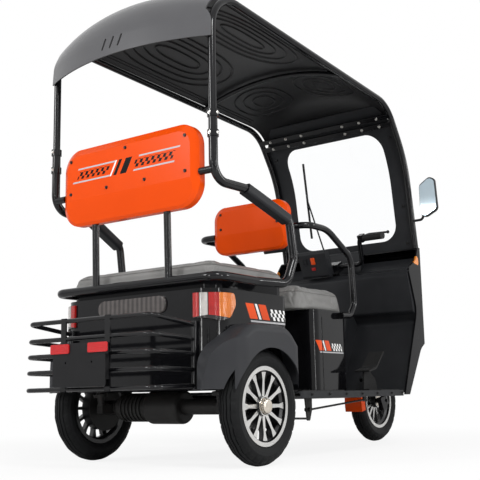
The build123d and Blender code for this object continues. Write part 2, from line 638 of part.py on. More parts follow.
# Plate holder: a pan with side flanges that reach the straps, its reflector shelf set back
PLATE_SKIN = 3.0
PLATE_Z = (278.0, 384.0, 424.0)
PLATE_HALF_WIDTH = 125.0
PLATE_BOLT_Y = 62.0
PLATE_BOLT_Z = 359.0
PLATE_BOLT_RADIUS = 3.5
REFLECTOR_DEPTH = 4.0
shelf_x = -REAR_OVERHANG + REFLECTOR_DEPTH + FIT_GAP
plate_x = shelf_x - 1.0
strap_face = BUMPER_X - BUMPER_BAR_RADIUS - FIT_GAP
plate_low, plate_mid, plate_high = PLATE_Z
plate_front = shelf_x + PLATE_SKIN
shelf_half = PLATE_HALF_WIDTH + 10
panel_rows = across([(PLATE_HALF_WIDTH, plate_low, 10), (PLATE_HALF_WIDTH, plate_mid, 2)])
shelf_rows = across([(shelf_half, plate_mid, 2), (shelf_half, plate_high, 10)])
plate = prism("x", panel_rows, plate_x, plate_front) + prism("x", shelf_rows, shelf_x, plate_front)
rib = Box(strap_face - shelf_x, 20, 100)
for y in (-STRAP_Y, STRAP_Y):
    plate += Pos((shelf_x + strap_face) / 2, y, (plate_low + plate_high) / 2) * rib
for y in (-PLATE_BOLT_Y, PLATE_BOLT_Y):
    plate -= rod((plate_x - 1, y, PLATE_BOLT_Z), (plate_front + 1, y, PLATE_BOLT_Z), PLATE_BOLT_RADIUS)
pieces["plate_holder"] = plate
reflector_rows = [(45, 390, 5), (135, 390, 5), (135, 422, 5), (45, 422, 5)]
pieces["plate_reflectors"] = both(prism("x", reflector_rows, -REAR_OVERHANG, shelf_x - FIT_GAP))

# Rear seat and its tube frame

REAR_BACK_X = (-252.0, -206.0)
REAR_BACK_Z = (886.0, 1188.0)
REAR_BACK_HALF_WIDTH = SIDE_FRAME_Y - 58
SEAT_FRONT_X = BODY_FRONT_X + 34

seat_pan_rows = box_rows(SEAT_RAIL_X + 28, SEAT_FRONT_X - 22, BODY_HALF_WIDTH - 23, 60)
pieces["rear_seat_base"] = prism("z", seat_pan_rows, BODY_TOP_Z + FIT_GAP, REAR_CUSHION_BOTTOM_Z - FIT_GAP)
cushion_rows = box_rows(SEAT_RAIL_X + 20, SEAT_FRONT_X, BODY_HALF_WIDTH - 14, 50)
cushion = prism("z", cushion_rows, REAR_CUSHION_BOTTOM_Z, REAR_CUSHION_TOP_Z)
pieces["rear_seat_cushion"] = fillet(cushion.edges().group_by(Axis.Z)[-1], 24)
shell, pad = backrest(REAR_BACK_X, REAR_BACK_Z, REAR_BACK_HALF_WIDTH, 85, 18, 0.36, 40)
pieces["rear_backrest_shell"] = shell
pieces["rear_backrest_pad"] = pad

# Passenger frame: each side runs from the roof splice down the post, forward as an armrest
# that flares outwards, and back under the seat
LOOP_FLARE = 42.0
RAIL_SPLIT_X = -40.0
loop_points = [
    # x, share of the flare, z
    (REAR_POST_X, 0, SPLICE_Z),
    (REAR_POST_X, 0, 966),
    (-20, 0.16, 966),
    (170, 0.96, 888),
    (192, 1.0, 735),
    (150, 0.85, SEAT_RAIL_Z),
    (10, 0, SEAT_RAIL_Z),
    (RAIL_SPLIT_X, 0, SEAT_RAIL_Z),
]
loop_path = [(x, SIDE_FRAME_Y + LOOP_FLARE * share, z) for x, share, z in loop_points]
loop_bends = [66, 150, 60, 50, 46, 110]
side_loop = tube(loop_path, SEAT_TUBE_RADIUS, loop_bends)
SLEEVE_LENGTH = 24.0
for z in (SPLICE_Z - 96, SPLICE_Z - SLEEVE_LENGTH):
    sleeve_low = (REAR_POST_X, SIDE_FRAME_Y, z)
    sleeve_high = (REAR_POST_X, SIDE_FRAME_Y, z + SLEEVE_LENGTH)
    side_loop += rod(sleeve_low, sleeve_high, SEAT_TUBE_RADIUS + 4)
stub_start = (REAR_POST_X, SIDE_FRAME_Y, 1005)
stub_end = (REAR_POST_X, REAR_BACK_HALF_WIDTH + FIT_GAP, 1005)
side_loop += rod(stub_start, stub_end, SEAT_TUBE_RADIUS - 3)
pieces["passenger_frame_left"] = side_loop
pieces["passenger_frame_right"] = mirror(side_loop, about=Plane.XZ)

rail_half = [
    (RAIL_SPLIT_X - FIT_GAP, SIDE_FRAME_Y, SEAT_RAIL_Z),
    (SEAT_RAIL_X, SIDE_FRAME_Y, SEAT_RAIL_Z),
]
rail_run = rail_half + [(x, -y, z) for x, y, z in reversed(rail_half)]
STAY_Y = 178.0
seat_rail = tube(rail_run, SEAT_TUBE_RADIUS, [46, 46])
stay_top = (-224, STAY_Y, REAR_BACK_Z[0] - 1)
seat_rail += both(rod((SEAT_RAIL_X, STAY_Y, SEAT_RAIL_Z), stay_top, SEAT_TUBE_RADIUS - 3))
rail_foot_y = BODY_HALF_WIDTH - BODY_WALL - 4
foot_top = (-100, SIDE_FRAME_Y, SEAT_RAIL_Z)
seat_rail += both(rod(foot_top, (-100, rail_foot_y, BODY_TOP_Z + FIT_GAP + 6), 9))
seat_rail += both(Pos(-100, rail_foot_y, BODY_TOP_Z + FIT_GAP + 4) * Box(40, 24, 8))
pieces["seat_rail"] = seat_rail

# Armrest pads: saddles on the flared run of the loops
PAD_HALF_WIDTH = 24.0
PAD_LIFT = 16.0
pad_low = Vector(*loop_path[2])
pad_high = Vector(*loop_path[3])
pad_run = pad_high - pad_low
pad_axis = pad_run.normalized()
pad_frame = Plane(pad_low - pad_axis * 30, x_dir=(pad_axis.Y, -pad_axis.X, 0), z_dir=pad_axis)
lift = SEAT_TUBE_RADIUS + PAD_LIFT
saddle = Pos(0, lift / 2 - 4) * RectangleRounded(2 * PAD_HALF_WIDTH, lift + 8, 12)
arm_pad = extrude(pad_frame * saddle, amount=pad_run.length + 20)
arm_pad -= tube(loop_path, SEAT_TUBE_RADIUS + FIT_GAP, loop_bends)
pieces["armrest_pads"] = both(arm_pad)

# Roof: side rails from the splice over the top and down the windscreen

ROOF_FRONT_X = WHEELBASE - 447
HOOP_KNEE = (WHEELBASE - 276, FRONT_HOOP_Y, 1352.0)
HOOP_FOOT = (WHEELBASE - 206, FRONT_HOOP_Y, COWL_TOP_Z - 10)
HOOP_BEND = 500.0


def roof_side(radius):
    """The left rail's run as a round bar of the given radius."""
    points = [
        (REAR_POST_X, SIDE_FRAME_Y, SPLICE_Z + FIT_GAP),
        (REAR_POST_X, SIDE_FRAME_Y, ROOF_REAR_Z),
        (ROOF_FRONT_X, FRONT_HOOP_Y, ROOF_FRONT_Z),
        HOOP_KNEE,
        HOOP_FOOT,
    ]
    return tube(points, radius, [140, 180, HOOP_BEND])


roof_rail = roof_side(ROOF_TUBE_RADIUS)
roof_rail -= Pos(HOOP_FOOT[0], FRONT_HOOP_Y, COWL_TOP_Z + FIT_GAP - 30) * Box(90, 90, 60)
rail_room = both(roof_side(ROOF_TUBE_RADIUS + FIT_GAP))
pieces["roof_rail_left"] = roof_rail
pieces["roof_rail_right"] = mirror(roof_rail, about=Plane.XZ)


def rail_share(x):
    """How far along the straight run over the seats a station lies."""
    return (x - REAR_POST_X) / (ROOF_FRONT_X - REAR_POST_X)


def rail_height(x):
    return ROOF_REAR_Z + (ROOF_FRONT_Z - ROOF_REAR_Z) * rail_share(x)


def rail_side(x):
    return SIDE_FRAME_Y + (FRONT_HOOP_Y - SIDE_FRAME_Y) * rail_share(x)


# Arched panel: one section swept from the rear lip over the top to the windscreen
LIP_X = REAR_POST_X - ROOF_TUBE_RADIUS - ROOF_SKIN
LIP_HALF_WIDTH = SIDE_FRAME_Y + 10
roof_path = FilletPolyline(
    (ROOF_FRONT_X + 41, 0, ROOF_FRONT_Z - 52),
    (ROOF_FRONT_X - 14, 0, ROOF_FRONT_Z),
    (LIP_X + 14, 0, ROOF_REAR_Z),
    (LIP_X, 0, LIP_BOTTOM_Z),
    radius=[160, 120],
)
roof_start = Plane(roof_path @ 0, x_dir=(0, -1, 0), z_dir=roof_path % 0)


def roof_shell(top, bottom):
    """The arched section between two levels, swept along the roof's path."""
    half = LIP_HALF_WIDTH
    section = [
        ThreePointArc((-half, top), (0, ROOF_CROWN + top), (half, top)),
        Line((half, top), (half, bottom)),
        ThreePointArc((half, bottom), (0, ROOF_CROWN + bottom), (-half, bottom)),
        Line((-half, bottom), (-half, top)),
    ]
    return sweep(roof_start * make_face(section), path=roof_path)


skin = roof_shell(0, -ROOF_SKIN)
tube_edge = ROOF_TUBE_RADIUS + FIT_GAP
lip_front = REAR_POST_X - tube_edge
plan = [
    (LIP_X - 2 * ROOF_CROWN, LIP_HALF_WIDTH + 1, 0),
    (lip_front, LIP_HALF_WIDTH + 1, 0),
    (lip_front, SIDE_FRAME_Y - tube_edge, 0),
    (REAR_POST_X, SIDE_FRAME_Y - tube_edge, 0),
    (ROOF_FRONT_X, FRONT_HOOP_Y - tube_edge, 0),
    (ROOF_FRONT_X + 300, FRONT_HOOP_Y - tube_edge, 0),
]
skin = skin & prism("z", plan_across(plan), LIP_BOTTOM_Z - 200, ROOF_REAR_Z + 200)
SLOT_PITCH = 40.0
SLOT_SIZE = (9.0, 48.0)
for y in (-SLOT_PITCH, 0, SLOT_PITCH):
    slot_face = Pos(LIP_X - ROOF_CROWN, y, LIP_BOTTOM_Z + 54) * Rot(22, 0, 0) * Rot(0, 90, 0)
    skin -= extrude(slot_face * SlotOverall(SLOT_SIZE[1], SLOT_SIZE[0]), amount=90, both=True)
pieces["roof_panel"] = skin

# Bows: one arched tube under the middle of the panel and two flat bars above the windscreen
BOW_X = 690.0
BAR_SECTION = (26.0, 10.0)
FRONT_BAR_ROWS = [
    # x from the front axle, z, tilt
    (-426, 1548, 40),
    (-398, 1516, 48),
]
bow_end = Vector(BOW_X, rail_side(BOW_X) - 6, rail_height(BOW_X) - 8)
bow_top = (BOW_X, 0, rail_height(BOW_X) + ROOF_CROWN - ROOF_SKIN - BOW_RADIUS - 8)
bow_path = ThreePointArc((BOW_X, -bow_end.Y, bow_end.Z), bow_top, bow_end)
bows = sweep(Plane(bow_path @ 0, z_dir=bow_path % 0) * Circle(BOW_RADIUS), path=bow_path)
for x, z, tilt in FRONT_BAR_ROWS:
    flat = Box(BAR_SECTION[0], 2 * FRONT_HOOP_Y, BAR_SECTION[1])
    flat = fillet(flat.edges().filter_by(Axis.Y), 3)
    bows += FRONT * Pos(x, 0, z) * Rot(0, tilt, 0) * flat
pieces["roof_bows"] = bows - rail_room

# Windscreen: a surround bent to the hoop's front, with the pane held in its rebate

SCREEN_Z = (COWL_TOP_Z + FIT_GAP, 1500.0, 1620.0)
OPENING_Z = (984.0, 1500.0)
OPENING_HALF_WIDTH = FRONT_HOOP_Y - 96
OPENING_CORNER = 80.0
PANE_THICKNESS = 5.0
REBATE_DEPTH = 4.0
SCREEN_NEAR = ROOF_TUBE_RADIUS + FIT_GAP
SCREEN_FAR = SCREEN_NEAR + SCREEN_FRAME_DEPTH


def hoop_rows(distance):
    """Side view of the hoop's centre line, moved forward by a distance."""
    foot, knee, top = (
        Vector(x, z) for x, z in [HOOP_FOOT[::2], HOOP_KNEE[::2], (ROOF_FRONT_X, ROOF_FRONT_Z)]
    )
    low_run = (knee - foot).normalized()
    high_run = (top - knee).normalized()
    low_out = Vector(low_run.Y, -low_run.X)
    high_out = Vector(high_run.Y, -high_run.X)
    corner = (low_out + high_out) / (1 + low_out.dot(high_out))
    spots = [foot + low_out * distance, knee + corner * distance, top + high_out * distance]
    return [(spot.X, spot.Y, r) for spot, r in zip(spots, (0, HOOP_BEND + distance, 0))]


def screen_sheet(near, far, rows):
    """Bent sheet between two distances from the hoop's centre line, cut to a front outline."""
    side = prism("y", hoop_rows(near) + hoop_rows(far)[::-1], -FRONT_HOOP_Y - 10, FRONT_HOOP_Y + 10)
    return side & prism("x", rows, ROOF_FRONT_X - 100, WHEELBASE)


def opening_rows(grow):
    """The windscreen opening, grown outwards for the rebate."""
    half_width = OPENING_HALF_WIDTH + grow
    corner = OPENING_CORNER + grow
    return across([(half_width, OPENING_Z[0] - grow, corner), (half_width, OPENING_Z[1] + grow, corner)])


screen_low, screen_side, screen_high = SCREEN_Z
surround_rows = across(
    [
        (FRONT_HOOP_Y + 4, screen_low, 8),
        (FRONT_HOOP_Y + 4, screen_side, 40),
        (FRONT_HOOP_Y - 76, screen_high, 60),
    ]
)
surround = screen_sheet(SCREEN_NEAR, SCREEN_FAR, surround_rows)
surround -= roof_shell(ROOF_CROWN, -ROOF_SKIN - FIT_GAP)
surround -= screen_sheet(SCREEN_NEAR - 5, SCREEN_FAR + 5, opening_rows(0))
surround -= screen_sheet(SCREEN_NEAR + REBATE_DEPTH, SCREEN_FAR + 5, opening_rows(SCREEN_LIP))
pieces["windscreen_frame"] = surround
pane_near = SCREEN_NEAR + REBATE_DEPTH + FIT_GAP
pane_rows = opening_rows(SCREEN_LIP - FIT_GAP)
pieces["windscreen_glass"] = screen_sheet(pane_near, pane_near + PANE_THICKNESS, pane_rows)

# Wiper, drawn with local Z up the hoop and local X straight out of the screen
WIPER_PIVOT = (150.0, 38.0)
WIPER_REACH = (66.0, 290.0)
BLADE_SIZE = (8.0, 9.0, 400.0)
hoop_lean = degrees(atan((HOOP_FOOT[0] - HOOP_KNEE[0]) / (HOOP_KNEE[2] - HOOP_FOOT[2])))
SCREEN = Pos(HOOP_FOOT[0], 0, HOOP_FOOT[2]) * Rot(0, -hoop_lean, 0)
wiper_y, wiper_z = WIPER_PIVOT
blade_y, blade_z = wiper_y + WIPER_REACH[0], wiper_z + WIPER_REACH[1]
blade_x = SCREEN_FAR + FIT_GAP + BLADE_SIZE[0] / 2
wiper = rod((SCREEN_FAR + FIT_GAP, wiper_y, wiper_z), (SCREEN_FAR + 16, wiper_y, wiper_z), 14)
wiper += rod((SCREEN_FAR + 9, wiper_y, wiper_z), (blade_x + 2, blade_y, blade_z), 4)
wiper += Pos(blade_x, blade_y, blade_z) * Box(*BLADE_SIZE)
pieces["wiper"] = SCREEN * wiper

# Front cowl, drawn from the front axle: side, front and plan outlines cut into one another

COWL_HALF_WIDTH = FLOOR_HALF_WIDTH + 2
COWL_FOOT_X = FLOOR_FRONT_X - WHEELBASE + 2
COWL_SIDE = [
    # x, z, corner radius, and the way the corner moves for the inside
    (COWL_FOOT_X, 232, 0, -20, -4),
    (COWL_FOOT_X + 160, 600, 120, -20, 0),
    (COWL_FOOT_X + 142, 815, 30, -20, 4),
    (COWL_FOOT_X + 240, 862, 60, -20, 8),
    (COWL_FOOT_X + 285, COWL_TOP_Z, 20, -20, -1),
    (-134, COWL_TOP_Z, 40, -1, -1),
    (0, 720, 220, -1, 0),
    (40, 560, 60, -1, 0),
    (-7, 476, 30, -0.5, 1),
    (-262, 476, 60, 0, 1),
    (-324, 440, 80, -0.6, 1),
    (COWL_FOOT_X + 46, 232, 0, -1, -4),
]
COWL_FRONT = [
    (COWL_HALF_WIDTH, 220, 0),
    (COWL_HALF_WIDTH, 640, 300),
    (COWL_HALF_WIDTH - 28, 860, 100),
    (COWL_HALF_WIDTH - 38, COWL_TOP_Z + 10, 0),
]
COWL_PLAN = [(-692, 440, 0), (-300, 440, 130), (-62, 330, 190), (45, 130, 90)]


def cowl_volume(inset):
    side = [(x + inset * dx, z + inset * dz, r) for x, z, r, dx, dz in COWL_SIDE]
    front = across([(y - inset, z, r) for y, z, r in COWL_FRONT])
    plan = plan_across([(x - inset * 0.9, y - inset, r) for x, y, r in COWL_PLAN])
    volume = prism("y", side, -500, 500)
    return volume & prism("x", front, -892, 108) & prism("z", plan, 100, 1000)


cowl = cowl_volume(0) - cowl_volume(COWL_WALL)
cowl -= prism("z", box_rows(-262, -102, 70, 20), 440, 520)
headlamp_rows = [(70, 612, 24), (250, 624, 24), (285, 690, 24), (95, 704, 30)]
headlamp_zone = prism("x", headlamp_rows, -112, 108)
turn_rows = [(-306, 846, 14), (-250, 838, 14), (-240, 882, 14), (-292, 888, 14)]
turn_zone = prism("y", turn_rows, 330, 460)
pieces["headlamps"] = FRONT * both(cowl & headlamp_zone)
pieces["front_turn_lamps"] = FRONT * both(cowl & turn_zone)
pieces["front_cowl"] = FRONT * (cowl - both(headlamp_zone) - both(turn_zone))

# Leg shield: foot recess, pockets and dash top, closing the cowl from behind
SHIELD_ROWS = [
    # x, z, corner radius: up the rear face, then down the front one
    (-500, 240, 0),
    (-386, 452, 80),
    (-324, 566, 22),
    (-348, 598, 10),
    (-374, 612, 12),
    (-380, 786, 30),
    (-366, 812, 10),
    (-288, 822, 60),
    (-206, 884, 0),
    (-206, 872, 0),
    (-274, 800, 30),
    (-286, 600, 12),
    (-300, 556, 22),
    (-366, 444, 80),
    (-486, 240, 0),
]
SPINE_ROWS = [
    (-510, 253, 0),
    (-432, 600, 20),
    (-376, 622, 0),
    (-322, 560, 0),
    (-386, 440, 0),
    (-492, 253, 0),
]
POCKET_ROWS = [(-370, 130, 14), (-302, 130, 14), (-302, 386, 14), (-370, 372, 14)]
SPINE_HALF_WIDTH = 105.0
shield = prism("y", SHIELD_ROWS, -450, 450)
shield += prism("y", SPINE_ROWS, -SPINE_HALF_WIDTH, SPINE_HALF_WIDTH)
inner_front = across([(y - COWL_WALL - FIT_GAP, z, r) for y, z, r in COWL_FRONT])
shield = shield & prism("x", inner_front, -892, 108)
shield -= both(prism("z", POCKET_ROWS, 690, 900))
shield = FRONT * shield
shield -= STEER * rod((0, 0, HEAD_LOW), (0, 0, BAR_Z + 55), STEM_RADIUS + RUNNING_GAP + 8)
shield -= FRONT * (cowl_volume(0) - cowl_volume(COWL_WALL + FIT_GAP))
pieces["leg_shield"] = shield

# Instrument pod on the dash top, between the hoop's feet
POD_HALF_WIDTH = 105.0
pod_rows = [(-270, 836.2, 0), (-258, 940, 10), (-238, 946, 6), (-234, 863.6, 0)]
pieces["instrument_panel"] = FRONT * prism("y", pod_rows, -POD_HALF_WIDTH, POD_HALF_WIDTH)

# Mirrors on stalks clamped to the hoop
MIRROR_X = -257.0
MIRROR_DEPTH = 24.0
MIRROR_ROWS = [
    # y from the hoop, z, corner radius
    (58, 1090, 20),
    (76, 1062, 24),
    (146, 1098, 24),
    (138, 1250, 22),
    (110, 1262, 22),
    (58, 1228, 24),
]
mirror_mid = (98.0, 1165.0)


def mirror_outline(share):
    """The mirror's outline, scaled about its middle."""
    rows = []
    for y, z, r in MIRROR_ROWS:
        y_new = mirror_mid[0] + (y - mirror_mid[0]) * share
        z_new = mirror_mid[1] + (z - mirror_mid[1]) * share
        rows.append((FRONT_HOOP_Y + y_new, z_new, r * share))
    return rows


head = prism("x", mirror_outline(1.0), MIRROR_X, MIRROR_X + MIRROR_DEPTH)
head = fillet(head.edges().group_by(Axis.X)[-1], 9)
stalk_z = 1062.0
stalk_points = [
    (-229, FRONT_HOOP_Y + 4, stalk_z),
    (MIRROR_X + 12, FRONT_HOOP_Y + 66, stalk_z - 2),
    (MIRROR_X + 12, FRONT_HOOP_Y + 72, stalk_z + 68),
]
stalk = FRONT * tube(stalk_points, 6, [20]) - roof_rail
pieces["mirror_housings"] = both(FRONT * head + stalk)
glass = prism("x", mirror_outline(0.93), MIRROR_X - 3, MIRROR_X - FIT_GAP)
pieces["mirror_glasses"] = FRONT * both(glass)

# Brake pedal at the right edge of the floor, and its linkage below
PEDAL_Y = -330.0
PEDAL_X = -632.0
TREAD_ROWS = [
    (PEDAL_X - 85, 338, 3),
    (PEDAL_X - 20, 352, 60),
    (PEDAL_X + 55, 424, 3),
    (PEDAL_X + 60, 418, 3),
    (PEDAL_X - 14, 344, 60),
    (PEDAL_X - 83, 331, 3),
]
PEDAL_PLATE_ROWS = [
    (PEDAL_X - 80, base_low, 6),
    (PEDAL_X + 46, base_low, 6),
    (PEDAL_X + 30, 300, 20),
    (PEDAL_X - 30, 342, 10),
    (PEDAL_X - 72, 330, 10),
]
pedal = prism("y", PEDAL_PLATE_ROWS, PEDAL_Y - 4, PEDAL_Y + 4)
pedal += prism("y", TREAD_ROWS, PEDAL_Y - 36, PEDAL_Y + 36)
pedal += Pos(PEDAL_X - 17, PEDAL_Y, base_low + 3) * Box(126, 60, 6)
pedal += rod((PEDAL_X + 10, PEDAL_Y - 4, 300), (PEDAL_X + 10, PEDAL_Y + 60, 300), 9)
pieces["brake_pedal"] = FRONT * pedal

CRANK_X = 425.0
CRANK_PLATE = 6.0
floor_under = FLOOR_TOP_Z - FLOOR_SKIN - FIT_GAP
CRANK_ROWS = [
    (CRANK_X - 26, floor_under, 4),
    (CRANK_X + 26, floor_under, 4),
    (CRANK_X + 24, 180, 14),
    (CRANK_X + 8, 140, 7),
    (CRANK_X - 10, 140, 7),
    (CRANK_X - 16, 180, 14),
]
linkage = prism("y", CRANK_ROWS, PEDAL_Y - CRANK_PLATE, PEDAL_Y)
linkage += rod((CRANK_X, PEDAL_Y - 16, 182), (CRANK_X, PEDAL_Y + 10, 182), 8)
rod_end = WHEELBASE + PEDAL_X - 90
linkage += rod((CRANK_X, PEDAL_Y - 11, 182), (rod_end, PEDAL_Y - 11, 214), 4)
hanger_rows = [
    (rod_end - 16, 206, 5),
    (rod_end + 16, 206, 5),
    (rod_end + 12, floor_under, 3),
    (rod_end - 12, floor_under, 3),
]
linkage += prism("y", hanger_rows, PEDAL_Y - 14, PEDAL_Y - 8)
linkage += rod((CRANK_X, PEDAL_Y - 3, 148), (HOUSING_RADIUS + 60, PEDAL_Y - 3, 158), 4)
pieces["brake_linkage"] = linkage

os.makedirs("parts", exist_ok=True)
for name, shape in pieces.items():
    export_step(Pos(REAR_AXLE_X, 0, 0) * shape, f"parts/{name}.step")
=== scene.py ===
import json
import math

import bmesh
import bpy
from mathutils import Matrix, Vector


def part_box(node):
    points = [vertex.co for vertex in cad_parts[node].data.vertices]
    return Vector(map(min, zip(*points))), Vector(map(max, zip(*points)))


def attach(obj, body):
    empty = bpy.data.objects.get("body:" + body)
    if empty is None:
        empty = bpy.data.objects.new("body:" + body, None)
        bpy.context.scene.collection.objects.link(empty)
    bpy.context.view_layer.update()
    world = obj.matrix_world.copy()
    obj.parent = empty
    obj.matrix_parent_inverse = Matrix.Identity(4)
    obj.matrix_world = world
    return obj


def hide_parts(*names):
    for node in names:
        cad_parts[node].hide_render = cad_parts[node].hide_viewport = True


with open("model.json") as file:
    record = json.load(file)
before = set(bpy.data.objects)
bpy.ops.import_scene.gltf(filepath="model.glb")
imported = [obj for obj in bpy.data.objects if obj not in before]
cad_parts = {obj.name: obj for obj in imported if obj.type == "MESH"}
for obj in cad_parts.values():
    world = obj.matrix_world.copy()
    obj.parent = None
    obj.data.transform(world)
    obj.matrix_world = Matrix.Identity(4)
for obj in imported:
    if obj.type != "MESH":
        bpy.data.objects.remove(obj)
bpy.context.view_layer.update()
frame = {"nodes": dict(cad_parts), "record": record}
nodes = frame["nodes"]
scene = bpy.context.scene
scene.view_settings.view_transform = "Standard"

# Places repeated from the part's source, in metres
REAR_AXLE_X, FRONT_AXLE_X = -0.660, 0.932
AXLE_Z = 0.203
WHEEL_Y = 0.3975
LAMP_CORNER_X, LAMP_CORNER_Y = -0.785, 0.285
STEER_FOOT_X, STEER_FOOT_Z, STEER_RAKE = 0.90683, 0.19073, math.radians(26.0)
MM = 0.001
SIDES = (-1, 1)


def spot(x, y, z):
    """A point in metres from millimetres, with x measured from the rear axle."""
    return Vector((REAR_AXLE_X + x * MM, y * MM, z * MM))


# Shader expressions

class Field:
    """One output in a node tree. Arithmetic on it adds Math nodes."""

    def __init__(self, shading, port):
        self.shading = shading
        self.port = port

    def math(self, operation, *terms):
        return self.shading.node("ShaderNodeMath", {"operation": operation}, terms)

    def __add__(self, other):
        return self.math("ADD", self, other)

    __radd__ = __add__

    def __sub__(self, other):
        return self.math("SUBTRACT", self, other)

    def __rsub__(self, other):
        return self.math("SUBTRACT", other, self)

    def __mul__(self, other):
        return self.math("MULTIPLY", self, other)

    __rmul__ = __mul__

    def __truediv__(self, other):
        return self.math("DIVIDE", self, other)

    def __rtruediv__(self, other):
        return self.math("DIVIDE", other, self)

    def __abs__(self):
        return self.math("ABSOLUTE", self)

    def __gt__(self, level):
        return self.math("GREATER_THAN", self, level)

    def __lt__(self, level):
        return self.math("LESS_THAN", self, level)

    def __or__(self, other):
        return self.math("MAXIMUM", self, other)

    def within(self, low, high):
        """1 between two levels."""
        return (self > low) * (self < high)

    def wave(self, pitch):
        """Sawtooth from 0 to 1 that repeats each pitch."""
        return self.math("FRACT", self / pitch)

    def ridge(self, pitch):
        """Triangle wave from 0 to 1 that repeats each pitch."""
        return abs(self.wave(pitch) * 2.0 - 1.0)

    def rise(self, low, high):
        """0 below low, 1 above high, smooth between."""
        settings = {"interpolation_type": "SMOOTHSTEP"}
        return self.shading.node("ShaderNodeMapRange", settings, {0: self, 1: low, 2: high})


class Shading:
    """A node tree, to which one method adds every node."""

    def __init__(self, tree):
        self.tree = tree

    def node(self, kind, settings=None, inputs=(), output=0):
        """One new node with its settings and its sockets' values or links, by its output."""
        made = self.tree.nodes.new(kind)
        for name, value in (settings or {}).items():
            setattr(made, name, value)
        pairs = inputs.items() if isinstance(inputs, dict) else enumerate(inputs)
        for key, value in pairs:
            self.feed(made.inputs[key], value)
        return Field(self, made.outputs[output])

    def feed(self, socket, value):
        if isinstance(value, Field):
            self.tree.links.new(value.port, socket)
        elif isinstance(value, tuple) and len(value) == 3 and socket.type == "RGBA":
            socket.default_value = (*value, 1.0)
        else:
            socket.default_value = value


class Finish(Shading):
    """A procedural material on the object's own coordinates."""

    SOCKETS = {
        "colour": "Base Color",
        "specular": "Specular IOR Level",
        "clear": "Transmission Weight",
        "ior": "IOR",
    }

    def __init__(self, name):
        self.material = bpy.data.materials.new(name)
        self.material.use_nodes = True
        super().__init__(self.material.node_tree)
        self.shader = self.tree.nodes["Principled BSDF"]
        self.place = self.node("ShaderNodeTexCoord", output="Object")

    def axis(self, letter):
        """The object's own x, y or z, in metres."""
        return self.node("ShaderNodeSeparateXYZ", None, [self.place], output=letter)

    def facing(self, letter):
        """One part of the surface's direction in the object's own axes."""
        normal = self.node("ShaderNodeTexCoord", output="Normal")
        return self.node("ShaderNodeSeparateXYZ", None, [normal], output=letter)

    def noise(self, scale, detail=2.0, place=None):
        inputs = {"Vector": place or self.place, "Scale": scale, "Detail": detail}
        return self.node("ShaderNodeTexNoise", None, inputs)

    def cells(self, scale):
        return self.node("ShaderNodeTexVoronoi", None, {"Vector": self.place, "Scale": scale})

    def stretched(self, x, y, z):
        return self.node("ShaderNodeMapping", None, {"Vector": self.place, "Scale": (x, y, z)})

    def from_axle(self, axle_x):
        """Distance from a wheel's axle."""
        along = self.axis("X") - axle_x
        up = self.axis("Z") - AXLE_Z
        squared = along * along + up * up
        return squared.math("SQRT", squared)

    def checks(self, first, second, size):
        """Chequered squares over two lengths."""
        return abs((first.wave(2 * size) > 0.5) - (second.wave(2 * size) > 0.5))

    def mix(self, share, low, high):
        inputs = {0: share, 6: low, 7: high}
        return self.node("ShaderNodeMix", {"data_type": "RGBA"}, inputs, output=2)

    def layered(self, base, *layers):
        """A colour with painted layers of (mask, colour) over it."""
        for mask, colour in layers:
            base = self.mix(mask, base, colour)
        return base

    def bump(self, height):
        """A surface raised by a height in metres."""
        return self.node("ShaderNodeBump", None, {"Height": height, "Distance": 1.0})

    def set(self, **sockets):
        for name, value in sockets.items():
            socket = self.SOCKETS.get(name, name.replace("_", " ").title())
            self.feed(self.shader.inputs[socket], value)


# Finishes

ORANGE, DEEP_ORANGE = (0.70, 0.066, 0.003), (0.62, 0.055, 0.002)
BLACK, SOFT_BLACK = (0.0025, 0.0025, 0.003), (0.006, 0.006, 0.007)
CHARCOAL, SLATE = (0.010, 0.0105, 0.012), (0.018, 0.019, 0.021)
WHITE, SILVER = (0.78, 0.78, 0.77), (0.42, 0.42, 0.43)
VINYL, VINYL_SHADE = (0.200, 0.198, 0.192), (0.146, 0.144, 0.139)
LENS_RED, LENS_AMBER = (0.22, 0.005, 0.005), (0.42, 0.085, 0.006)
RUBBER, DUSTY_RUBBER = (0.0022, 0.0024, 0.0028), (0.0070, 0.0074, 0.0078)
# Height of a gloss surface's orange peel, in metres
PEEL = 0.00004


def paint(name, low, high, roughness, **more):
    """Sprayed gloss paint with a faint orange peel."""
    finish = Finish(name)
    drift = finish.noise(6.0)
    finish.set(
        colour=finish.mix(drift, low, high),
        roughness=finish.noise(35.0) * 0.08 + (roughness - 0.04),
        normal=finish.bump(finish.noise(260.0) * PEEL),
        **more,
    )
    return finish


def grained(name, low, high, roughness, grain=0.00022, pitch=620.0):
    """Moulded plastic or rubber with a fine pebble grain."""
    finish = Finish(name)
    pebble = finish.cells(pitch)
    worn = finish.noise(14.0, 4.0)
    finish.set(
        colour=finish.mix(worn, low, high),
        roughness=worn * 0.16 + pebble * 0.1 + (roughness - 0.12),
        normal=finish.bump(pebble * grain),
        specular=0.16,
    )
    return finish


BAND_MIDDLE, BAND_HALF, BAND_LINE = 1.080, 0.028, 0.006
BAND_LEAN = 0.55
CHECK_HALF, CHECK_SIZE = 0.014, 0.014
REAR_FACING = -0.8


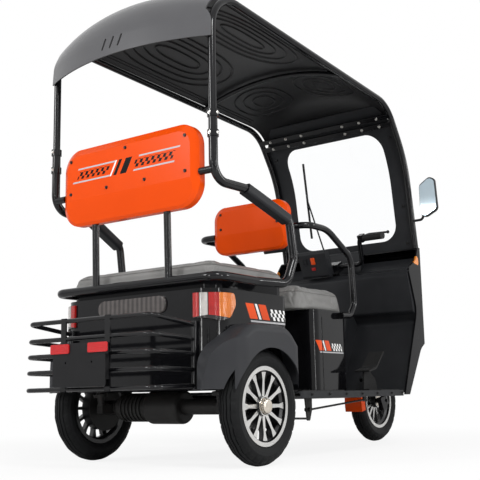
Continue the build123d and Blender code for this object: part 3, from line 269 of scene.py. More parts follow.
def backrest_shell(name, decal):
    """Glossy orange moulding, with a printed band of slanted bars and checks on the rear one."""
    finish = Finish(name)
    colour = finish.mix(finish.noise(5.0), ORANGE, DEEP_ORANGE)
    if decal:
        y, z = finish.axis("Y"), finish.axis("Z")
        rear = finish.facing("X") < REAR_FACING
        slant = y + (z - BAND_MIDDLE) * BAND_LEAN
        level = abs(z - BAND_MIDDLE)
        band = level < BAND_HALF
        bars = slant.within(-0.02, 0.012) | slant.within(0.030, 0.046)
        thin = slant.within(0.056, 0.064)
        sides = slant.within(0.085, 0.245) | slant.within(-0.235, -0.045)
        checks = (level < CHECK_HALF) * finish.checks(slant, z, CHECK_SIZE)
        lines = level.within(BAND_HALF - BAND_LINE, BAND_HALF)
        lines = lines * abs(slant - 0.005).within(0.06, 0.255)
        colour = finish.layered(
            colour,
            (rear * band * bars, BLACK),
            (rear * band * thin, WHITE),
            (rear * sides * checks, BLACK),
            (rear * lines, SILVER),
        )
    finish.set(
        colour=colour,
        roughness=finish.noise(30.0) * 0.08 + 0.20,
        normal=finish.bump(finish.noise(180.0) * PEEL),
        specular=0.10,
    )
    return finish


PANEL_LEAN = -0.5
SIDE_FACING = 0.85
BLOCK_START, BLOCK_END = 2.6, 4.6


def printed_panel(name, start, low, high):
    """Gloss black panel with slanted orange and white bars and a block of checks on its sides."""
    finish = Finish(name)
    x, z = finish.axis("X"), finish.axis("Z")
    side = abs(finish.facing("Y")) > SIDE_FACING
    slant = x - start - (z - low) * PANEL_LEAN
    band = z.within(low, high)
    tall = high - low
    block = slant.within(tall * BLOCK_START, tall * BLOCK_END)
    checks = finish.checks(slant, z - low, tall / 4) * block
    rule = z.within(low - tall * 0.22, low - tall * 0.10) * slant.within(0.0, tall * BLOCK_END)
    colour = finish.layered(
        finish.mix(finish.noise(6.0), BLACK, SOFT_BLACK),
        (side * band * slant.within(0.0, tall * 0.9), ORANGE),
        (side * band * slant.within(tall * 1.05, tall * 1.3), WHITE),
        (side * band * slant.within(tall * 1.45, tall * 2.3), DEEP_ORANGE),
        (side * z.within(low, low + tall * 0.75) * checks, WHITE),
        (side * rule, SILVER),
    )
    finish.set(
        colour=colour,
        roughness=finish.noise(25.0) * 0.05 + 0.05,
        normal=finish.bump(finish.noise(120.0) * PEEL),
        specular=0.22,
    )
    return finish


SEAM_SHADE, THREAD = (0.05, 0.049, 0.046), (0.30, 0.29, 0.27)
STITCH_OFFSET, STITCH_HALF, STITCH_PITCH, STITCH_SHARE = 0.0055, 0.0008, 0.0075, 0.62


def seat_vinyl(name, axis, seam):
    """Grey vinyl with pebble grain, soft creases and one stitched seam round its edge."""
    finish = Finish(name)
    level = finish.axis(axis) - seam
    groove = 1.0 - abs(level).rise(0.0006, 0.0028)
    run = finish.axis("Y") + finish.axis("X" if axis == "Z" else "Z")
    row = abs(level - STITCH_OFFSET) < STITCH_HALF
    thread = row * (run.wave(STITCH_PITCH) < STITCH_SHARE)
    grain = finish.cells(520.0)
    crease = finish.noise(16.0, 5.0)
    tone = finish.mix(crease, VINYL, VINYL_SHADE)
    finish.set(
        colour=finish.layered(tone, (groove * 0.7, SEAM_SHADE), (thread, THREAD)),
        roughness=crease * 0.18 + grain * 0.12 + 0.34,
        normal=finish.bump(
            grain * 0.00028 + crease * 0.0008 - groove * 0.0016 + thread * 0.0006
        ),
        specular=0.3,
    )
    return finish


CAP_REACH, HUB_REACH = 0.027, 0.030
TURNED_FACING = 0.9


def rim_alloy(name, axle_x, both_sides):
    """Black cast rim with its outer faces turned bright."""
    finish = Finish(name)
    reach = finish.from_axle(axle_x)
    cap = reach < CAP_REACH
    outward = (finish.axis("Y") > 0.0) * 2.0 - 1.0
    across = finish.facing("Y")
    turned = abs(across) if both_sides else across * outward
    face = (turned > TURNED_FACING) * (reach > HUB_REACH) | cap
    turning = reach.ridge(0.0011)
    cast = finish.noise(160.0, 3.0)
    bright = finish.mix(finish.noise(20.0), (0.72, 0.71, 0.69), (0.58, 0.58, 0.57))
    bright = finish.mix(cap, bright, (0.66, 0.60, 0.52))
    finish.set(
        colour=finish.mix(face, finish.mix(cast, BLACK, SOFT_BLACK), bright),
        metallic=face,
        roughness=face * (turning * 0.08 - 0.14) + 0.32,
        normal=finish.bump(face * turning * 0.00006 + (1.0 - face) * cast * 0.0001),
    )
    return finish


def tread_rubber(name, axle_x):
    """Tyre rubber: darker in the grooves, dusty on the tread, with fine lines round the wall."""
    finish = Finish(name)
    reach = finish.from_axle(axle_x)
    tread = reach.rise(0.186, 0.194)
    dust = finish.noise(45.0, 5.0)
    wall = (1.0 - tread) * reach.ridge(0.0034)
    finish.set(
        colour=finish.mix(dust * 0.7 + tread * 0.3, RUBBER, DUSTY_RUBBER),
        roughness=dust * 0.2 + tread * 0.08 + 0.46,
        normal=finish.bump(dust * 0.0003 + wall * 0.0003 + finish.cells(700.0) * 0.00015),
        specular=0.14,
    )
    return finish


def roof_plastic():
    """Dark plastic, glossy above and satin below, with its upward faces painted lighter grey as a
    painted sheen.
    """
    finish = Finish("roof_plastic")
    above = finish.facing("Z").rise(-0.02, 0.06)
    drift = finish.noise(4.0, 3.0)
    low = finish.mix(drift, (0.0085, 0.0085, 0.009), (0.015, 0.015, 0.016))
    # Painted sheen: the faces turned up get a lighter grey that stands in for light from above on
    # the gloss.
    top = finish.mix(drift, (0.088, 0.088, 0.092), (0.062, 0.062, 0.066))
    finish.set(
        colour=finish.mix(above, low, top),
        roughness=drift * 0.1 + above * -0.16 + 0.34,
        normal=finish.bump(finish.cells(480.0) * (1.0 - above) * 0.00016),
        specular=0.3,
    )
    return finish


# Bands of the tail lamp, as angles round the tub's corner
CLEAR_FROM, CLEAR_TO, AMBER_FROM, JOINT_HALF = 0.30, 0.62, 1.02, 0.018
LENS_FOOT = 0.512


def lamp_lens():
    """Tail lamp: red, clear, red and amber bands round the corner, over fine prisms."""
    finish = Finish("tail_lens")
    out = abs(finish.axis("Y")) - LAMP_CORNER_Y
    back = LAMP_CORNER_X - finish.axis("X")
    turn = out.math("ARCTAN2", out, back)
    height = finish.axis("Z")
    clear = turn.within(CLEAR_FROM, CLEAR_TO)
    amber = turn > AMBER_FROM
    joint = (abs(turn - CLEAR_FROM) < JOINT_HALF) | (abs(turn - CLEAR_TO) < JOINT_HALF)
    foot = (height + abs(turn - CLEAR_TO) * 0.012) < LENS_FOOT
    prisms = turn.ridge(0.045) * 0.5 + height.ridge(0.006) * 0.5
    glow = finish.noise(38.0, 3.0)
    colour = finish.layered(
        finish.mix(glow, LENS_RED, (0.40, 0.012, 0.010)),
        (clear, finish.mix(glow, (0.20, 0.18, 0.17), (0.62, 0.60, 0.57))),
        (amber, finish.mix(glow, LENS_AMBER, (0.62, 0.17, 0.012))),
        (joint | foot, (0.012, 0.008, 0.008)),
    )
    finish.set(
        colour=colour,
        roughness=prisms * 0.1 + 0.08,
        normal=finish.bump(prisms * 0.0007),
        coat_weight=0.35,
        specular=0.3,
    )
    return finish


def ribbed_lens(name, low, high, axis, pitch, roughness=0.08):
    """Moulded lens with prism lines."""
    finish = Finish(name)
    lines = finish.axis(axis).ridge(pitch)
    cross = finish.axis("Z").ridge(pitch)
    finish.set(
        colour=finish.mix(lines * 0.6 + finish.noise(30.0) * 0.4, low, high),
        roughness=lines * 0.08 + roughness,
        normal=finish.bump((lines + cross) * 0.0004),
        coat_weight=0.25,
        specular=0.25,
    )
    return finish


def clear_pane():
    """Thin clear pane, almost without bending of what is behind it."""
    finish = Finish("screen_pane")
    finish.set(
        colour=finish.mix(finish.noise(3.0), (0.99, 0.995, 1.0), (0.975, 0.985, 0.99)),
        roughness=finish.noise(12.0) * 0.02,
        clear=1.0,
        ior=1.12,
    )
    return finish


def brushed(name, colour, roughness):
    """Plated or machined metal with fine drawn lines."""
    finish = Finish(name)
    drawn = finish.noise(90.0, 3.0, finish.stretched(1.0, 14.0, 14.0))
    finish.set(
        colour=finish.mix(drawn, colour, tuple(c * 0.75 for c in colour)),
        metallic=1.0,
        roughness=drawn * 0.16 + (roughness - 0.06),
        normal=finish.bump(drawn * 0.00008),
    )
    return finish


def mirror_silver():
    """Pale blue mirror glass with a milky sheen."""
    finish = Finish("mirror_silver")
    haze = finish.noise(9.0, 3.0)
    finish.set(
        colour=finish.mix(haze, (0.60, 0.75, 0.84), (0.70, 0.81, 0.88)),
        metallic=haze * 0.1 + 0.2,
        roughness=haze * 0.05 + 0.05,
    )
    return finish


dark_grain = grained("dark_grain", CHARCOAL, SLATE, 0.46)
bolt_black = paint("bolt_black", (0.012, 0.012, 0.012), (0.03, 0.03, 0.03), 0.3, metallic=0.6)
bolt_zinc = brushed("bolt_zinc", (0.62, 0.61, 0.58), 0.28)

FINISHES = {
    "orange_plastic": backrest_shell("orange_shell", decal=False),
    "gloss_black": paint("tube_paint", BLACK, SOFT_BLACK, 0.15, specular=0.28),
    "body_black": paint("gloss_panel", BLACK, SOFT_BLACK, 0.10, specular=0.09),
    "dark_plastic": dark_grain,
    "grip_rubber": grained(
        "grip_rubber", (0.008, 0.008, 0.008), (0.016, 0.016, 0.016), 0.58, pitch=380.0
    ),
    "grey_vinyl": seat_vinyl("pad_vinyl", "X", -0.852),
    "axle_metal": grained(
        "cast_black", (0.009, 0.009, 0.009), (0.022, 0.021, 0.020), 0.42, 0.0003, 240.0
    ),
    "battery_case": grained("battery_case", (0.012, 0.012, 0.013), (0.02, 0.02, 0.02), 0.5),
    "alloy": rim_alloy("rear_rim_alloy", REAR_AXLE_X, both_sides=False),
    "tyre_rubber": tread_rubber("rear_tread", REAR_AXLE_X),
    "clear_glass": clear_pane(),
    "mirror_glass": mirror_silver(),
    "red_lens": lamp_lens(),
    "amber_lens": ribbed_lens("amber_lens", (0.55, 0.14, 0.01), (0.85, 0.28, 0.02), "X", 0.006),
    "smoked_lens": ribbed_lens(
        "smoked_lens", (0.010, 0.009, 0.009), (0.105, 0.092, 0.088), "Y", 0.022
    ),
}
fender_grain = grained("fender_grain", (0.019, 0.0195, 0.022), (0.029, 0.030, 0.033), 0.44)
NODE_FINISHES = {
    "rear_backrest_shell": backrest_shell("printed_shell", decal=True),
    "rear_body": printed_panel("printed_tub", -0.665, 0.508, 0.562),
    "driver_seat_base": printed_panel("printed_base", -0.030, 0.420, 0.462),
    "roof_panel": roof_plastic(),
    "front_rim": rim_alloy("front_rim_alloy", FRONT_AXLE_X, both_sides=True),
    "plate_reflectors": ribbed_lens(
        "reflector_red", (0.30, 0.003, 0.005), (0.55, 0.008, 0.010), "Y", 0.005
    ),
    "headlamps": ribbed_lens(
        "headlamp_lens", (0.55, 0.57, 0.58), (0.86, 0.88, 0.90), "Y", 0.016, 0.05
    ),
    "rear_fender_left": fender_grain,
    "rear_fender_right": fender_grain,
    "plate_holder": grained("plate_grain", (0.0035, 0.0035, 0.004), (0.008, 0.008, 0.009), 0.4),
}
for subpart in frame["record"]["subparts"]:
    mesh = nodes[subpart["node"]].data
    mesh.materials.clear()
    chosen = NODE_FINISHES.get(subpart["node"], FINISHES[subpart["material_slot"]])
    mesh.materials.append(chosen.material)


# Making pieces

def linked(name, data):
    """A new object in the scene."""
    thing = bpy.data.objects.new(name, data)
    scene.collection.objects.link(thing)
    return thing


def settled(name, shape):
    """A mesh made from a bmesh, which is freed."""
    mesh = bpy.data.meshes.new(name)
    shape.to_mesh(mesh)
    shape.free()
    return mesh


def evaluated(thing):
    """An object as its modifiers leave it."""
    return thing.evaluated_get(bpy.context.evaluated_depsgraph_get())


def piece(name, shape, finish, body, sharp=math.radians(35)):
    """Turns a bmesh into a finished piece that rides on a body."""
    bmesh.ops.recalc_face_normals(shape, faces=shape.faces)
    mesh = settled(name, shape)
    mesh.shade_smooth()
    mesh.set_sharp_from_angle(angle=sharp)
    mesh.materials.append(finish.material)
    thing = linked(name, mesh)
    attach(thing, body)
    return thing


def stood(place, direction):
    """Moves a shape's +Z to a direction at a place."""
    turn = Vector(direction).to_track_quat("Z", "Y").to_matrix().to_4x4()
    return Matrix.Translation(place) @ turn


HEX, ROUND, WASHER_SIDES = 6, 24, 24
# Shares of a screw head's radius
WASHER_FOOT, WASHER_TOP, WASHER_DEPTH = 1.35, 1.25, 0.3
HEAD_TOP, HEAD_DEPTH, HEAD_LIFT = 0.9, 0.8, 0.45
CHAMFER_WIDTH, CHAMFER_RISE = 0.16, 0.1
DRIVE_INSET, DRIVE_SINK = 0.3, 0.4


def screw_mesh(radius, sides):
    """Screw head on a washer, with a chamfered rim and a sunk drive."""
    shape = bmesh.new()
    bmesh.ops.create_cone(
        shape, cap_ends=True, segments=WASHER_SIDES,
        radius1=radius * WASHER_FOOT, radius2=radius * WASHER_TOP, depth=radius * WASHER_DEPTH,
    )
    head = bmesh.ops.create_cone(
        shape, cap_ends=True, segments=sides,
        radius1=radius, radius2=radius * HEAD_TOP, depth=radius * HEAD_DEPTH,
    )["verts"]
    bmesh.ops.translate(shape, vec=(0, 0, radius * HEAD_LIFT), verts=head)
    top = max(shape.faces, key=lambda f: f.calc_center_median().z)
    bmesh.ops.inset_region(
        shape, faces=[top], thickness=radius * CHAMFER_WIDTH, depth=radius * CHAMFER_RISE
    )
    bmesh.ops.inset_region(shape, faces=[top], thickness=radius * DRIVE_INSET)
    bmesh.ops.translate(shape, vec=(0, 0, -radius * DRIVE_SINK), verts=top.verts)
    return settled("screw", shape)


def screws(name, rows, finish, body, sides=HEX):
    """One piece of many screws, from rows of (place, direction, radius in mm)."""
    shape = bmesh.new()
    for place, direction, radius in rows:
        count = len(shape.verts)
        shape.from_mesh(screw_mesh(radius * MM, sides))
        shape.verts.ensure_lookup_table()
        bmesh.ops.transform(shape, matrix=stood(place, direction), verts=shape.verts[count:])
    piece(name, shape, finish, body)


# Tyres

TYRE_STEPS, TYRE_SHARP, SEAM_MERGE = 180, math.radians(50), 1e-6
TREAD_RADIUS, TREAD_DROP, TREAD_HALF = 0.2028, 0.0152, 0.031
WALL_ROWS = [
    # radius, half width: bead, rim guard, two raised rings, bulge and shoulder
    (0.1278, 0.0262), (0.1376, 0.0264), (0.1392, 0.0300), (0.1420, 0.0326), (0.1452, 0.0330),
    (0.1470, 0.0352), (0.1500, 0.0356), (0.1515, 0.0362), (0.1545, 0.0380), (0.1560, 0.0384),
    (0.1640, 0.0389), (0.1655, 0.0394), (0.1690, 0.0394), (0.1705, 0.0387), (0.1800, 0.0358),
    (0.1855, 0.0328),
]
GROOVES = [
    # middle, half width, depth
    (-0.0225, 0.0017, 0.0042), (-0.0112, 0.0022, 0.0052), (0.0, 0.0015, 0.0045),
    (0.0112, 0.0022, 0.0052), (0.0225, 0.0017, 0.0042),
]
GROOVE_FLOOR = 0.6
# Steps in one wave of the grooves, its swing, and the share of the swing lost at the shoulder
WAVE_STEPS, WAVE_SWING, SWING_LOSS = 10, 0.0042, 0.5
TREAD_FROM = 0.187
NOTCH_STEPS, NOTCH_SHARE, NOTCH_FROM_Y, NOTCH_FROM = 6, 0.982, 0.023, 0.178


def tread_radius(y):
    """Radius of the crowned tread at a distance from the tyre's middle."""
    return TREAD_RADIUS - TREAD_DROP * (y / TREAD_HALF) ** 2


def tyre(name, node, axle_x, side, finish, body):
    """Tyre with raised wall rings, waved tread grooves and notched shoulders."""
    section = list(WALL_ROWS)
    for middle, half, depth in reversed(GROOVES):
        floor = tread_radius(middle) - depth
        sunk = half * GROOVE_FLOOR
        section += [(tread_radius(middle + half), middle + half), (floor, middle + sunk)]
        section += [(floor, middle - sunk), (tread_radius(middle - half), middle - half)]
    section += [(r, -y) for r, y in reversed(WALL_ROWS)]
    shape = bmesh.new()
    ring = [shape.verts.new((axle_x, side + y, AXLE_Z + r)) for r, y in section]
    loop = [shape.edges.new(pair) for pair in zip(ring, ring[1:] + ring[:1])]
    hub = Vector((axle_x, side, AXLE_Z))
    bmesh.ops.spin(
        shape, geom=ring + loop, cent=hub, axis=(0, 1, 0),
        angle=math.tau, steps=TYRE_STEPS, use_merge=True,
    )
    bmesh.ops.remove_doubles(shape, verts=shape.verts, dist=SEAM_MERGE)
    half_wave = WAVE_STEPS / 2
    for vert in shape.verts:
        arm = vert.co - hub
        reach = math.hypot(arm.x, arm.z)
        step = round(math.atan2(arm.x, arm.z) / math.tau * TYRE_STEPS)
        if reach > TREAD_FROM:
            swing = abs(step % WAVE_STEPS - half_wave) / half_wave - 0.5
            vert.co.y += swing * WAVE_SWING * (1 - abs(arm.y) / TREAD_HALF * SWING_LOSS)
        if abs(arm.y) > NOTCH_FROM_Y and reach > NOTCH_FROM and step % NOTCH_STEPS == 0:
            vert.co = hub + Vector((arm.x * NOTCH_SHARE, arm.y, arm.z * NOTCH_SHARE))
    made = piece(name, shape, finish, body, TYRE_SHARP)
    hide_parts(node)


rear_rubber = FINISHES["tyre_rubber"]
tyre("tread_rear_left", "rear_left_tyre", REAR_AXLE_X, WHEEL_Y, rear_rubber, "rear_left_wheel")
tyre("tread_rear_right", "rear_right_tyre", REAR_AXLE_X, -WHEEL_Y, rear_rubber, "rear_right_wheel")
front_rubber = tread_rubber("front_tread", FRONT_AXLE_X)
tyre("tread_front", "front_tyre", FRONT_AXLE_X, 0.0, front_rubber, "front_wheel")


# Upholstery

VOXEL, MERGE = 0.006, 1e-5
FILL_FRAMES = 20
FILL_PRESSURE = 4.0


def remeshed(mesh):
    """Even quads of one voxel over a closed mesh."""
    block = linked("block", mesh)
    even = block.modifiers.new("even", "REMESH")
    even.mode = "VOXEL"
    even.voxel_size = VOXEL
    made = bpy.data.meshes.new_from_object(evaluated(block))
    bpy.data.objects.remove(block)
    return made


def filled(mesh, held, cap):
    """Blows the mesh up as cloth from its held points, no point moving further than the cap."""
    bag = linked("bag", mesh)
    group = bag.vertex_groups.new(name="held")
    group.add(held, 1.0, "REPLACE")
    cloth = bag.modifiers.new("fill", "CLOTH")
    cloth.settings.use_pressure = True
    cloth.settings.uniform_pressure_force = FILL_PRESSURE
    cloth.settings.effector_weights.gravity = 0.0
    cloth.settings.vertex_group_mass = "held"
    for step in range(1, FILL_FRAMES + 1):
        scene.frame_set(step)
    swollen = evaluated(bag).data
    moves = [full.co - start.co for full, start in zip(swollen.vertices, mesh.vertices)]
    bag.modifiers.remove(cloth)
    bpy.data.objects.remove(bag)
    scene.frame_set(1)
    for vert, move in zip(mesh.vertices, moves):
        vert.co += move * min(1.0, cap / max(move.length, 1e-9))


def upholster(name, node, axis, finish, trim, cap):
    """A cushion in the place of its CAD solid, flat only on the face it rests on."""
    low, high = (Vector(corner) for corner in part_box(node))
    middle = (low + high) / 2
    middle[axis] = low[axis]
    size = high - low
    shrink = Vector(1 - 2 * trim / s for s in size)
    shrink[axis] = 1 - trim / size[axis]
    shape = bmesh.new()
    shape.from_mesh(nodes[node].data)
    bmesh.ops.remove_doubles(shape, verts=shape.verts, dist=MERGE)
    bmesh.ops.scale(shape, vec=shrink, space=Matrix.Translation(-middle), verts=shape.verts)
    mesh = remeshed(settled(name, shape))
    mesh.name = name
    held = [v.index for v in mesh.vertices if v.co[axis] < low[axis] + VOXEL]
    filled(mesh, held, cap)
    mesh.shade_smooth()
    mesh.materials.clear()
    mesh.materials.append(finish.material)
    cushion = linked(name, mesh)
    soft = cushion.modifiers.new("soft", "SUBSURF")
    soft.levels = soft.render_levels = 1
    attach(cushion, "chassis")
    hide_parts(node)


UPHOLSTERY = [
    # name, solid, axis it stands out along, seam level, trim, cap, fill
    ("bench_cushion", "rear_seat_cushion", 2, 0.690, 0.008, 0.010, 0.8),
    ("driver_cushion", "driver_seat_cushion", 2, 0.664, 0.010, 0.014, 0.8),
    ("bench_back_pad", "rear_backrest_pad", 0, -0.838, 0.006, 0.010, 0.7),
    ("driver_back_pad", "driver_backrest_pad", 0, -0.066, 0.006, 0.010, 0.7),
]
for name, node, axis, seam, trim, cap, fill in UPHOLSTERY:
    vinyl = seat_vinyl(f"{name}_vinyl", "XYZ"[axis], seam)
    upholster(name, node, axis, vinyl, trim, cap)


# Roof: beads pressed into the underside

ROOF_HALF, ROOF_CROWN, ROOF_SKIN = 404.0, 82.0, 5.0
ROOF_ARC = (ROOF_HALF ** 2 + ROOF_CROWN ** 2) / (2 * ROOF_CROWN)
ROOF_REAR, ROOF_FRONT = (-236.0, 1663.0), (1131.0, 1602.0)
BEAD_POINTS, BLUNTNESS = 64, 0.7
BEAD, EDGE_BEAD = 0.0052, 0.0035
OVALS = [
    # middle x, middle y, then half lengths and half widths
    (260, 175, ((330, 138), (268, 104), (206, 70), (140, 34))),
    (910, 172, ((148, 128), (104, 88), (60, 46))),
]
EDGE_BEAD_Y, EDGE_TAPER = (338, 352), 0.0135
EDGE_STATIONS = range(-170, 1090, 60)


def roof_under(x, y):
    """The point on the underside of the roof over x and y in millimetres."""
    share = (x - ROOF_REAR[0]) / (ROOF_FRONT[0] - ROOF_REAR[0])
    level = ROOF_REAR[1] + (ROOF_FRONT[1] - ROOF_REAR[1]) * share
    arch = math.sqrt(ROOF_ARC ** 2 - y ** 2) - ROOF_ARC + ROOF_CROWN
    return spot(x, y, level + arch - ROOF_SKIN)


def add_bead(shape, points, radius, closed):
    """Half-round bead along points on the roof."""
    line = bpy.data.curves.new("bead", "CURVE")
    line.dimensions = "3D"
    line.bevel_depth = radius
    line.bevel_resolution = 2
    run = line.splines.new("POLY")
    run.points.add(len(points) - 1)
    for knot, point in zip(run.points, points):
        knot.co = (*point, 1.0)
    run.use_cyclic_u = closed
    holder = linked("bead", line)
    shape.from_mesh(bpy.data.meshes.new_from_object(evaluated(holder)))
    bpy.data.objects.remove(holder)


def oval(mid_x, mid_y, half_x, half_y):
    """Points of a long oval on the roof, blunter than an ellipse."""
    points = []
    for i in range(BEAD_POINTS):
        angle = math.tau * i / BEAD_POINTS
        bow = math.copysign(abs(math.cos(angle)) ** BLUNTNESS, math.cos(angle))
        points.append(roof_under(mid_x + half_x * bow, mid_y + half_y * math.sin(angle)))
    return points


def press_roof():
    """Nested ovals and two edge beads on each half of the roof."""
    shape = bmesh.new()
    for side in SIDES:
        for mid_x, mid_y, halves in OVALS:
            for half_x, half_y in halves:
                add_bead(shape, oval(mid_x, side * mid_y, half_x, half_y), BEAD, True)
        for y in EDGE_BEAD_Y:
            run = [roof_under(x, side * (y - x * EDGE_TAPER)) for x in EDGE_STATIONS]
            add_bead(shape, run, EDGE_BEAD, False)
    bead_satin = grained(
        "bead_satin", (0.0095, 0.0095, 0.010), (0.017, 0.017, 0.018), 0.34, 0.0001
    )
    piece("roof_beads", shape, bead_satin, "chassis")


press_roof()


# Screws and bolts

BACK = (-1, 0, 0)
# Backrest shells, rear and driver's: the screws' x and radius, then their places (y, z)
SHELL_SCREWS = [
    (-253.0, 5.0, ((-285, 1012), (285, 1012), (-285, 1140), (285, 1140),
                   (-95, 1012), (95, 1012), (0, 1148))),
    (514.0, 4.5, ((-150, 1032), (150, 1032), (-150, 966), (150, 966))),
]
shell_rows = [
    (spot(x, y, z), BACK, radius) for x, radius, places in SHELL_SCREWS for y, z in places
]
screws("shell_screws", shell_rows, bolt_black, "chassis", ROUND)

# Flat crossbars under the front of the roof: x, z and tilt of each
CROSSBARS = ((1166, 1548, 40), (1194, 1516, 48))
CROSSBAR_BOLT_Y = (-310, -215, -120, 120, 215, 310)
CROSSBAR_REACH, CROSSBAR_BOLT = 0.006, 5.5
bar_rows = []
for x, z, tilt in CROSSBARS:
    lean = math.radians(tilt)
    down = Vector((-math.sin(lean), 0, -math.cos(lean)))
    for y in CROSSBAR_BOLT_Y:
        bar_rows.append((spot(x, y, z) + down * CROSSBAR_REACH, down, CROSSBAR_BOLT))
screws("crossbar_bolts", bar_rows, bolt_zinc, "chassis")

# Windscreen surround: x and z on the hoop, and the way that the surround faces there
LOW_OUT, HIGH_OUT = Vector((0.987, 0, 0.160)), Vector((0.825, 0, 0.565))
SCREEN_BOLTS = ((1379.5, 960, LOW_OUT), (1350, 1142, LOW_OUT), (1242, 1460, HIGH_OUT))
SCREEN_BOLT_Y, SCREEN_REACH, SCREEN_BOLT = 332, 0.0135, 6.0
screen_rows = [
    (spot(x, side * SCREEN_BOLT_Y, z) + out * SCREEN_REACH, -out, SCREEN_BOLT)
    for side in SIDES for x, z, out in SCREEN_BOLTS
]
screws("screen_bolts", screen_rows, bolt_black, "chassis")

# Sleeves under the splice of each rear post, bolted from behind and from outside
POST_X, POST_Y, SLEEVE_RADIUS, SLEEVE_Z, POST_BOLT = -231, 394, 20.5, (1130, 1202), 4.5
post_rows = []
for side in SIDES:
    for z in SLEEVE_Z:
        behind = spot(POST_X - SLEEVE_RADIUS, side * POST_Y, z)
        outside = spot(POST_X, side * (POST_Y + SLEEVE_RADIUS), z)
        post_rows += [(behind, BACK, POST_BOLT), (outside, (0, side, 0), POST_BOLT)]
screws("post_bolts", post_rows, bolt_zinc, "chassis")

# Bolts along the side skirts of the floor panel
FLOOR_BOLT_X = (300, 430, 560, 690, 820, 950, 1050)
FLOOR_BOLT_Y, FLOOR_BOLT_Z, FLOOR_BOLT = 430.6, 240, 5.0
edge_rows = [
    (spot(x, side * FLOOR_BOLT_Y, FLOOR_BOLT_Z), (0, side, 0), FLOOR_BOLT)
    for side in SIDES for x in FLOOR_BOLT_X
]
screws("floor_bolts", edge_rows, bolt_black, "chassis")

STUD_COUNT, STUD_REACH, STUD_RADIUS = 5, 0.0298, 2.8
HUB_FACE = WHEEL_Y + 0.0282


def hub_studs(name, out, body):
    """Studs round the hub cap of a rear wheel."""
    rows = []
    for i in range(STUD_COUNT):
        angle = math.tau * i / STUD_COUNT
        along, up = STUD_REACH * math.cos(angle), STUD_REACH * math.sin(angle)
        place = Vector((REAR_AXLE_X + along, out * HUB_FACE, AXLE_Z + up))
        rows.append((place, (0, out, 0), STUD_RADIUS))
    screws(name, rows, bolt_zinc, body)


hub_studs("studs_rear_left", 1, "rear_left_wheel")
hub_studs("studs_rear_right", -1, "rear_right_wheel")


# Switches on the box behind the handlebar

def on_steering(x, y, z):
    """A point given in millimetres along the steering axis's own directions."""
    ahead, up = x * MM, z * MM
    return Vector((
        STEER_FOOT_X + ahead * math.cos(STEER_RAKE) - up * math.sin(STEER_RAKE),
        y * MM,
        STEER_FOOT_Z + ahead * math.sin(STEER_RAKE) + up * math.cos(STEER_RAKE),
    ))


BOX_FACE_FOOT, BOX_FACE_TOP = on_steering(-78.3, 0, 722), on_steering(-64.3, 0, 862)
box_out = Vector((0, 1, 0)).cross((BOX_FACE_TOP - BOX_FACE_FOOT).normalized())
box_out *= -math.copysign(1.0, box_out.x)


def on_box(share, y):
    """A point on the box's rear face, a share of the way up and y millimetres across."""
    return BOX_FACE_FOOT.lerp(BOX_FACE_TOP, share) + Vector((0, y * MM, 0))


# Shares of a rocker switch's width and depth
ROCKER_BEVEL, RIM_WIDTH, WELL_DEPTH = 0.2, 0.12, 0.3
KEY_GAP, KEY_RISE, KEY_TIP = 0.05, 0.45, 0.5


def rocker(name, place, size, finish):
    """Rocker switch: a bevelled frame with a sunk, tipped key."""
    wide, tall, deep = size
    shape = bmesh.new()
    bmesh.ops.create_cube(shape, size=1.0)
    bmesh.ops.scale(shape, vec=(wide, tall, deep), verts=shape.verts)
    bmesh.ops.bevel(
        shape, geom=shape.edges[:], offset=deep * ROCKER_BEVEL, segments=2, profile=0.5,
        affect="EDGES", material=-1,
    )
    top = max(shape.faces, key=lambda f: f.calc_center_median().z * f.calc_area())
    for thickness, depth in ((RIM_WIDTH, -WELL_DEPTH), (KEY_GAP, KEY_RISE)):
        bmesh.ops.inset_region(
            shape, faces=[top], thickness=wide * thickness, depth=deep * depth
        )
    for vert in top.verts:
        vert.co.z += vert.co.y / tall * deep * KEY_TIP
    bmesh.ops.transform(shape, matrix=stood(place, box_out), verts=shape.verts)
    piece(name, shape, finish, "steering")


orange_key = paint("orange_key", (0.75, 0.10, 0.008), DEEP_ORANGE, 0.35)
red_key = paint("red_key", (0.48, 0.014, 0.012), (0.36, 0.01, 0.01), 0.3)
rocker("orange_switch", on_box(0.62, 66), (0.022, 0.034, 0.010), orange_key)
rocker("red_switch", on_box(0.34, 70), (0.020, 0.014, 0.009), red_key)
rocker("black_switch", on_box(0.62, 108), (0.022, 0.034, 0.010), dark_grain)


# Raised ribs on the floor panel

RIB_RUNS = ((262, 575), (890, 1062))
RIB_SPAN, RIB_PITCH, RIB_WIDTH, RIB_HEIGHT, RIB_ROUND = 400, 40, 0.022, 0.004, 0.0022
RIB_MIDDLE_Z = 253.4
# The front ribs leave out the place of the brake pedal
PEDAL_GAP = range(-379, -280)


def floor_ribs():
    """Long ribs with rounded tops, in front of each seat."""
    shape = bmesh.new()
    for start, end in RIB_RUNS:
        for y in range(-RIB_SPAN, RIB_SPAN + 1, RIB_PITCH):
            if start == RIB_RUNS[1][0] and y in PEDAL_GAP:
                continue
            rib = bmesh.ops.create_cube(shape, size=1.0)["verts"]
            bmesh.ops.scale(shape, vec=((end - start) * MM, RIB_WIDTH, RIB_HEIGHT), verts=rib)
            middle = spot((start + end) / 2, y, RIB_MIDDLE_Z)
            bmesh.ops.translate(shape, vec=middle, verts=rib)
            edges = {e for v in rib for e in v.link_edges}
            upper = [e for e in edges if all(v.co.z > middle.z for v in e.verts)]
            bmesh.ops.bevel(
                shape, geom=upper, offset=RIB_ROUND, segments=2, profile=0.5,
                affect="EDGES", material=-1,
            )
    piece("floor_ribs", shape, FINISHES["grip_rubber"], "chassis")


floor_ribs()


# Floor, light and camera

CAMERA_PLACE = Vector((REAR_AXLE_X - 2.536, -2.186, 0.239))
CAMERA_YAW, CAMERA_PITCH, CAMERA_ROLL = (math.radians(a) for a in (36.18, 10.04, -1.09))
CAMERA_FOCAL_PIXELS, IMAGE_PIXELS, SENSOR = 880.79, 480, 36.0


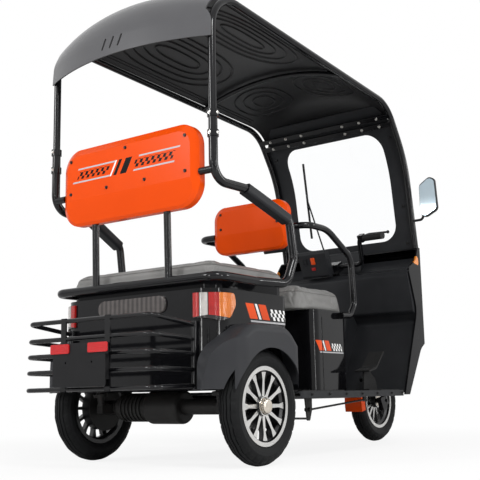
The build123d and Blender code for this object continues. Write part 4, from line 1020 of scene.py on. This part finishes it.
def aim_camera():
    """The camera that took the photograph, as fitted to it."""
    lens = bpy.data.cameras.new("photo_camera")
    lens.sensor_width = SENSOR
    lens.lens = CAMERA_FOCAL_PIXELS / IMAGE_PIXELS * SENSOR
    lens.clip_start = 0.05
    lens.clip_end = 200.0
    eye = linked("photo_camera", lens)
    turn = Matrix.Rotation(CAMERA_YAW - math.pi / 2, 4, "Z")
    tip = Matrix.Rotation(math.pi / 2 + CAMERA_PITCH, 4, "X")
    lean = Matrix.Rotation(CAMERA_ROLL, 4, "Z")
    eye.matrix_world = Matrix.Translation(CAMERA_PLACE) @ turn @ tip @ lean
    scene.camera = eye


# The floor's own white as seen by the camera: its share near the object, and where it is full
FLOOR_RADIUS, FLOOR_GLOW, FLOOR_FADE = 60.0, 0.86, (1.0, 3.0)


def lay_floor():
    """Pale floor that turns to plain white away from the object and keeps its shadow."""
    shape = bmesh.new()
    bmesh.ops.create_circle(shape, cap_ends=True, segments=96, radius=FLOOR_RADIUS)
    mesh = settled("studio_floor", shape)
    floor = linked("studio_floor", mesh)
    finish = Finish("studio_floor")
    finish.set(colour=(0.92, 0.92, 0.92), roughness=0.9)
    away = finish.node(
        "ShaderNodeVectorMath", {"operation": "LENGTH"}, [finish.place], output="Value"
    )
    share = away.rise(*FLOOR_FADE) * (1 - FLOOR_GLOW) + FLOOR_GLOW
    rays = finish.node("ShaderNodeLightPath", output="Is Camera Ray")
    white = finish.node("ShaderNodeEmission", None, {"Color": (1.0, 1.0, 1.0), "Strength": 1.0})
    lit = Field(finish, finish.shader.outputs[0])
    blend = finish.node("ShaderNodeMixShader", None, {0: rays * share, 1: lit, 2: white})
    finish.feed(finish.tree.nodes["Material Output"].inputs["Surface"], blend)
    mesh.materials.append(finish.material)


# The surroundings' strength for diffuse rays, where other rays see plain white
SKY_FILL = 0.42
LAMPS = [
    # name, place, target, width, height, power
    ("key_softbox", (-2.8, -3.4, 3.6), (-0.2, -0.2, 0.7), 1.1, 1.1, 120.0),
    ("rear_softbox", (-4.4, 1.8, 2.6), (-0.6, 0.0, 0.7), 1.0, 1.0, 80.0),
    ("side_softbox", (1.8, -3.8, 1.8), (0.3, -0.2, 0.7), 0.9, 0.9, 45.0),
    ("left_strip", (-4.3, -0.4, 0.9), (-0.8, -0.1, 0.6), 0.14, 1.8, 22.0),
    ("right_strip", (-1.3, -3.9, 0.9), (-0.4, -0.3, 0.6), 0.14, 1.8, 22.0),
]


def light_studio():
    """White surroundings with soft boxes and strips."""
    world = bpy.data.worlds.new("studio")
    scene.world = world
    world.use_nodes = True
    shading = Shading(world.node_tree)
    seen = shading.node("ShaderNodeLightPath", output="Is Camera Ray")
    for ray in ("Is Glossy Ray", "Is Transmission Ray"):
        seen = seen | shading.node("ShaderNodeLightPath", output=ray)
    sky = shading.tree.nodes["Background"]
    shading.feed(sky.inputs["Color"], (1.0, 1.0, 1.0))
    shading.feed(sky.inputs["Strength"], seen * (1 - SKY_FILL) + SKY_FILL)
    for name, place, target, wide, tall, power in LAMPS:
        lamp = bpy.data.lights.new(name, "AREA")
        lamp.shape = "RECTANGLE"
        lamp.size, lamp.size_y = wide, tall
        lamp.energy = power
        holder = linked(name, lamp)
        holder.location = place
        aim = Vector(target) - Vector(place)
        holder.rotation_euler = aim.to_track_quat("-Z", "Y").to_euler()


aim_camera()
lay_floor()
light_studio()
